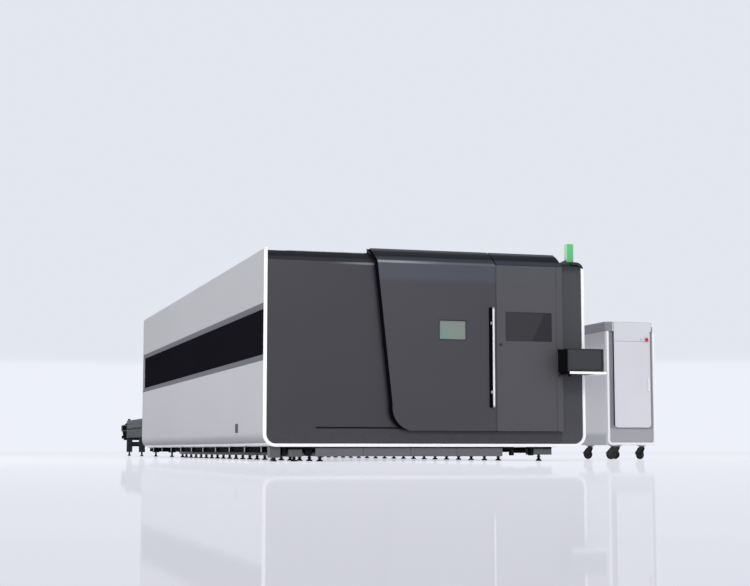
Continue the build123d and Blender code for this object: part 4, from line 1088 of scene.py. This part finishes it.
def toothed_slats(name, node, pitch, tooth):
    """Close-set slats with pointed teeth and round valleys, between the pallet's side bars."""
    low, high = span(node)
    length, rise = high.x - low.x, high.z - low.z
    teeth = int(length // tooth)
    start = (length - teeth * tooth) / 2
    valley = rise - 0.026
    outline = [(0, 0), (length, 0), (length, valley)]
    for index in reversed(range(teeth)):
        left = start + index * tooth
        outline += [(left + tooth * 0.94, valley + 0.001), (left + tooth * 0.75, valley + 0.01),
                    (left + tooth * 0.5, rise), (left + tooth * 0.25, valley + 0.01),
                    (left + tooth * 0.06, valley + 0.001)]
    outline.append((0, valley))
    mesh = bpy.data.meshes.new(name)
    mesh.from_pydata([corner + Vector((low.x + x, low.y, low.z + z)) for x, z in outline], [],
                     [list(range(len(outline)))])
    piece = bpy.data.objects.new(name, mesh)
    bpy.context.scene.collection.objects.link(piece)
    count = int((high.y - low.y) / pitch) + 1
    thick = piece.modifiers.new("thickness", "SOLIDIFY")
    thick.thickness = slat_thickness
    thick.offset = -1
    apply_all(piece)
    if min(vertex.co.y for vertex in piece.data.vertices) < corner.y + low.y - 0.001:
        piece.location.y += slat_thickness
        settle(piece)
    return row(piece, count, (0, (high.y - low.y - 0.006) / (count - 1), 0))


for level in ("upper", "lower"):
    dress(f"{level}_pallet", f"{level}_pallet_frame", f"{level}_pallet", "frame_grey", pallet_enamel)
    slats = toothed_slats(f"{level}_slats", f"{level}_pallet_slats", pitch=0.1, tooth=0.05)
    hand_in(slats, f"{level}_pallet", "bare_steel", slat_steel, stands_for=(f"{level}_pallet_slats",))
print("pallets dressed")

# %% [markdown]
# The exchange table behind the enclosure, with its chains link by link.

# %% Exchange table
table = dress("exchange_table", "table_frame", "machine", "frame_grey", table_enamel, 0.004)
table_end = span("table_frame")[1].y
leg_top = 0.36
black_start, black_bottom = table_end - 0.835, 0.33
paint(table, leg_enamel, lambda place, normal: place.z < leg_top)
paint(table, black_enamel, lambda place, normal: place.y > black_start and place.z > black_bottom)
dress("sprocket_shaft", "drive_shaft", "drive_shaft", "bare_steel", zinc_steel, 0.001)
dress("table_motor", "gearmotor", "machine", "motor_grey", motor_enamel)

chain_pitch = 0.038
bend_links = 5


def chain_link(centre, width, length):
    """Two side plates on a roller, lying along Y."""
    y, z = centre
    parts = []
    for side in (-1, 1):
        x = side * (width / 2 - 0.0015)
        low = (x - 0.0014, y - length / 2, z - 0.006)
        high = (x + 0.0014, y + length / 2, z + 0.006)
        parts.append(block("plate", low, high))
    parts.append(drum("roller", (-width / 2 + 0.001, y, z), (width / 2 - 0.001, y, z), 0.0045, 10))
    return join("link", parts)


def chain_loops():
    """Both chain loops as links, and the idlers at the front."""
    boxes = solids_of("drive_chains")
    loops = [(low, high) for low, high in boxes if high.y - low.y > 1]
    idlers = [(low, high) for low, high in boxes if high.y - low.y < 1]
    pieces = []
    for low, high in loops:
        middle_x, middle_z = (low.x + high.x) / 2, (low.z + high.z) / 2
        radius = (high.z - low.z) / 2 - 0.007
        front, back = low.y + radius + 0.007, high.y - radius - 0.007
        width = high.x - low.x
        count = int((back - front) / chain_pitch)
        step = (back - front) / count
        for z in (middle_z + radius, middle_z - radius):
            run = row(chain_link((front + step / 2, z), width, step - 0.003), count, (0, step, 0))
            pieces.append(copy(run, (middle_x, 0, 0)))
            bpy.data.objects.remove(run)
        for end, start in ((front, 90), (back, -90)):
            for index in range(bend_links):
                turn = math.radians(start + 180 / bend_links * (index + 0.5))
                first = chain_link((0, 0), width, 0.034)
                link = copy(first, -corner)
                bpy.data.objects.remove(first)
                link.rotation_euler = (turn + math.pi / 2, 0, 0)
                link.location = spot(middle_x, end + radius * math.cos(turn),
                                     middle_z + radius * math.sin(turn))
                settle(link)
                pieces.append(link)
    for low, high in idlers:
        middle = (low + high) / 2
        half, radius = (high.x - low.x) / 2, (high.z - low.z) / 2
        profile = mirrored([(0.008, -half), (0.02, -half), (0.024, -half * 0.6),
                            (radius - 0.004, -half * 0.5), (radius - 0.001, -half * 0.3)])
        pieces.append(turned("idler", profile, middle, (1, 0, 0)))
    return join("chain_loops", pieces)


hand_in(chain_loops(), "machine", "bare_steel", dark_steel, stands_for=("drive_chains",))
print("exchange table dressed")

# %% [markdown]
# The laser source cabinet: a pale door in a bright white edge, with the grey of the sheet behind it
# at both sides and below, a darker cover on top, and four casters, each turned its own way.

# %% Source cabinet
case = dress("source_case", "source_shell", "machine", "source_paint", source_side, 0.004)
case_low, case_high = span("source_shell")
door_low, door_high = span("source_door")
cover_z = span("source_front_frame")[1].z
paint(case, source_cover, lambda place, normal: place.z > cover_z - 0.001)
paint(case, source_paint, lambda place, normal: place.z > door_high.z and normal.y < -0.95)
paint(case, source_grey, lambda place, normal: normal.y < -0.8 and case_low.y + 0.03 < place.y
      < case_low.y + 0.05)
paint(case, shadow_paint, lambda place, normal: normal.x < -0.8 and door_low.y - 0.001 < place.y
      < door_low.y + 0.04)
dress("source_trim", "source_front_frame", "machine", "white_trim", white_paint, 0.004, 3)
source_front = dress("source_front", "source_door", "source_door", "source_paint", source_paint, 0.003)
paint(source_front, shadow_paint, lambda place, normal: normal.x < -0.8 and place.x < door_low.x + 0.004)
pull_z, pull_left = (0.9, 1.08), door_high.x - 0.06
paint(source_front, white_paint, lambda place, normal: place.y < door_low.y + 0.016
      and pull_z[0] < place.z < pull_z[1] and place.x > pull_left)
dress("source_stop", "source_estop", "source_estop", "stop_red", stop_red, 0.002)
dress("source_module", "laser_module", "machine", "device_grey", grey_plastic)

button_low, button_high = span("source_estop")
button = (button_low + button_high) / 2
pilot_dome = [(0, 0), (0.009, 0), (0.009, 0.002), (0.007, 0.004), (0.006, 0.006), (0, 0.0075)]
pilot = turned("pilot_lamp", pilot_dome, (button.x - 0.075, case_low.y, button.z), (0, -1, 0))
hand_in(pilot, "machine", "lamp_green", pilot_green)


def louvres():
    """Two rows of pressed louvres in the source cabinet's back."""
    back = case_high.y
    slat = block("louvre", (case_low.x + 0.12, back - 0.001, 0.42), (case_low.x + 0.34, back + 0.007, 0.434))
    with editing(slat):
        choose_faces(slat, lambda place, normal: normal.z > 0.9)
        bpy.ops.transform.translate(value=(0, -0.004, 0))
    soften(slat, 0.002)
    column = row(slat, 12, (0, 0, 0.035))
    return join("louvres", [column, copy(column, (0.245, 0, 0))])


hand_in(louvres(), "machine", "source_paint", source_grey)

# How far each caster stands turned, in degrees, as in the CAD model.
caster_turns = (52, 18, 35, 70)
tyre_profile = mirrored([(0.043, -0.014), (0.045, -0.022), (0.053, -0.022), (0.0595, -0.017),
                         (0.062, -0.009)])
hub_profile = mirrored([(0.0075, -0.02), (0.015, -0.0215), (0.017, -0.012), (0.039, -0.01), (0.045, -0.016)])
for number, turn in enumerate(caster_turns, start=1):
    body = f"caster_fork_{number}"
    way = Vector((math.cos(math.radians(turn)), math.sin(math.radians(turn)), 0))
    low, high = span(f"caster_wheel_{number}")
    middle = (low + high) / 2
    fork = merged_copy("fork", (body,))
    soften(fork, 0.001)
    nuts = [drum("nut", middle + way * side * 0.031, middle + way * side * 0.036, 0.011, 6)
            for side in (-1, 1)]
    fork = join(f"fork_{number}", [fork, *nuts])
    hand_in(fork, body, "caster_metal", dark_steel, stands_for=(body,))
    tyre = turned("tyre", tyre_profile, middle, way, 48)
    tyre.data.materials.append(rubber)
    hub = turned("hub", hub_profile, middle, way, 48)
    hub.data.materials.append(hub_plastic)
    wheel = join(f"wheel_{number}", [tyre, hub])
    hand_in(wheel, f"caster_wheel_{number}", "caster_tyre", stands_for=(f"caster_wheel_{number}",))
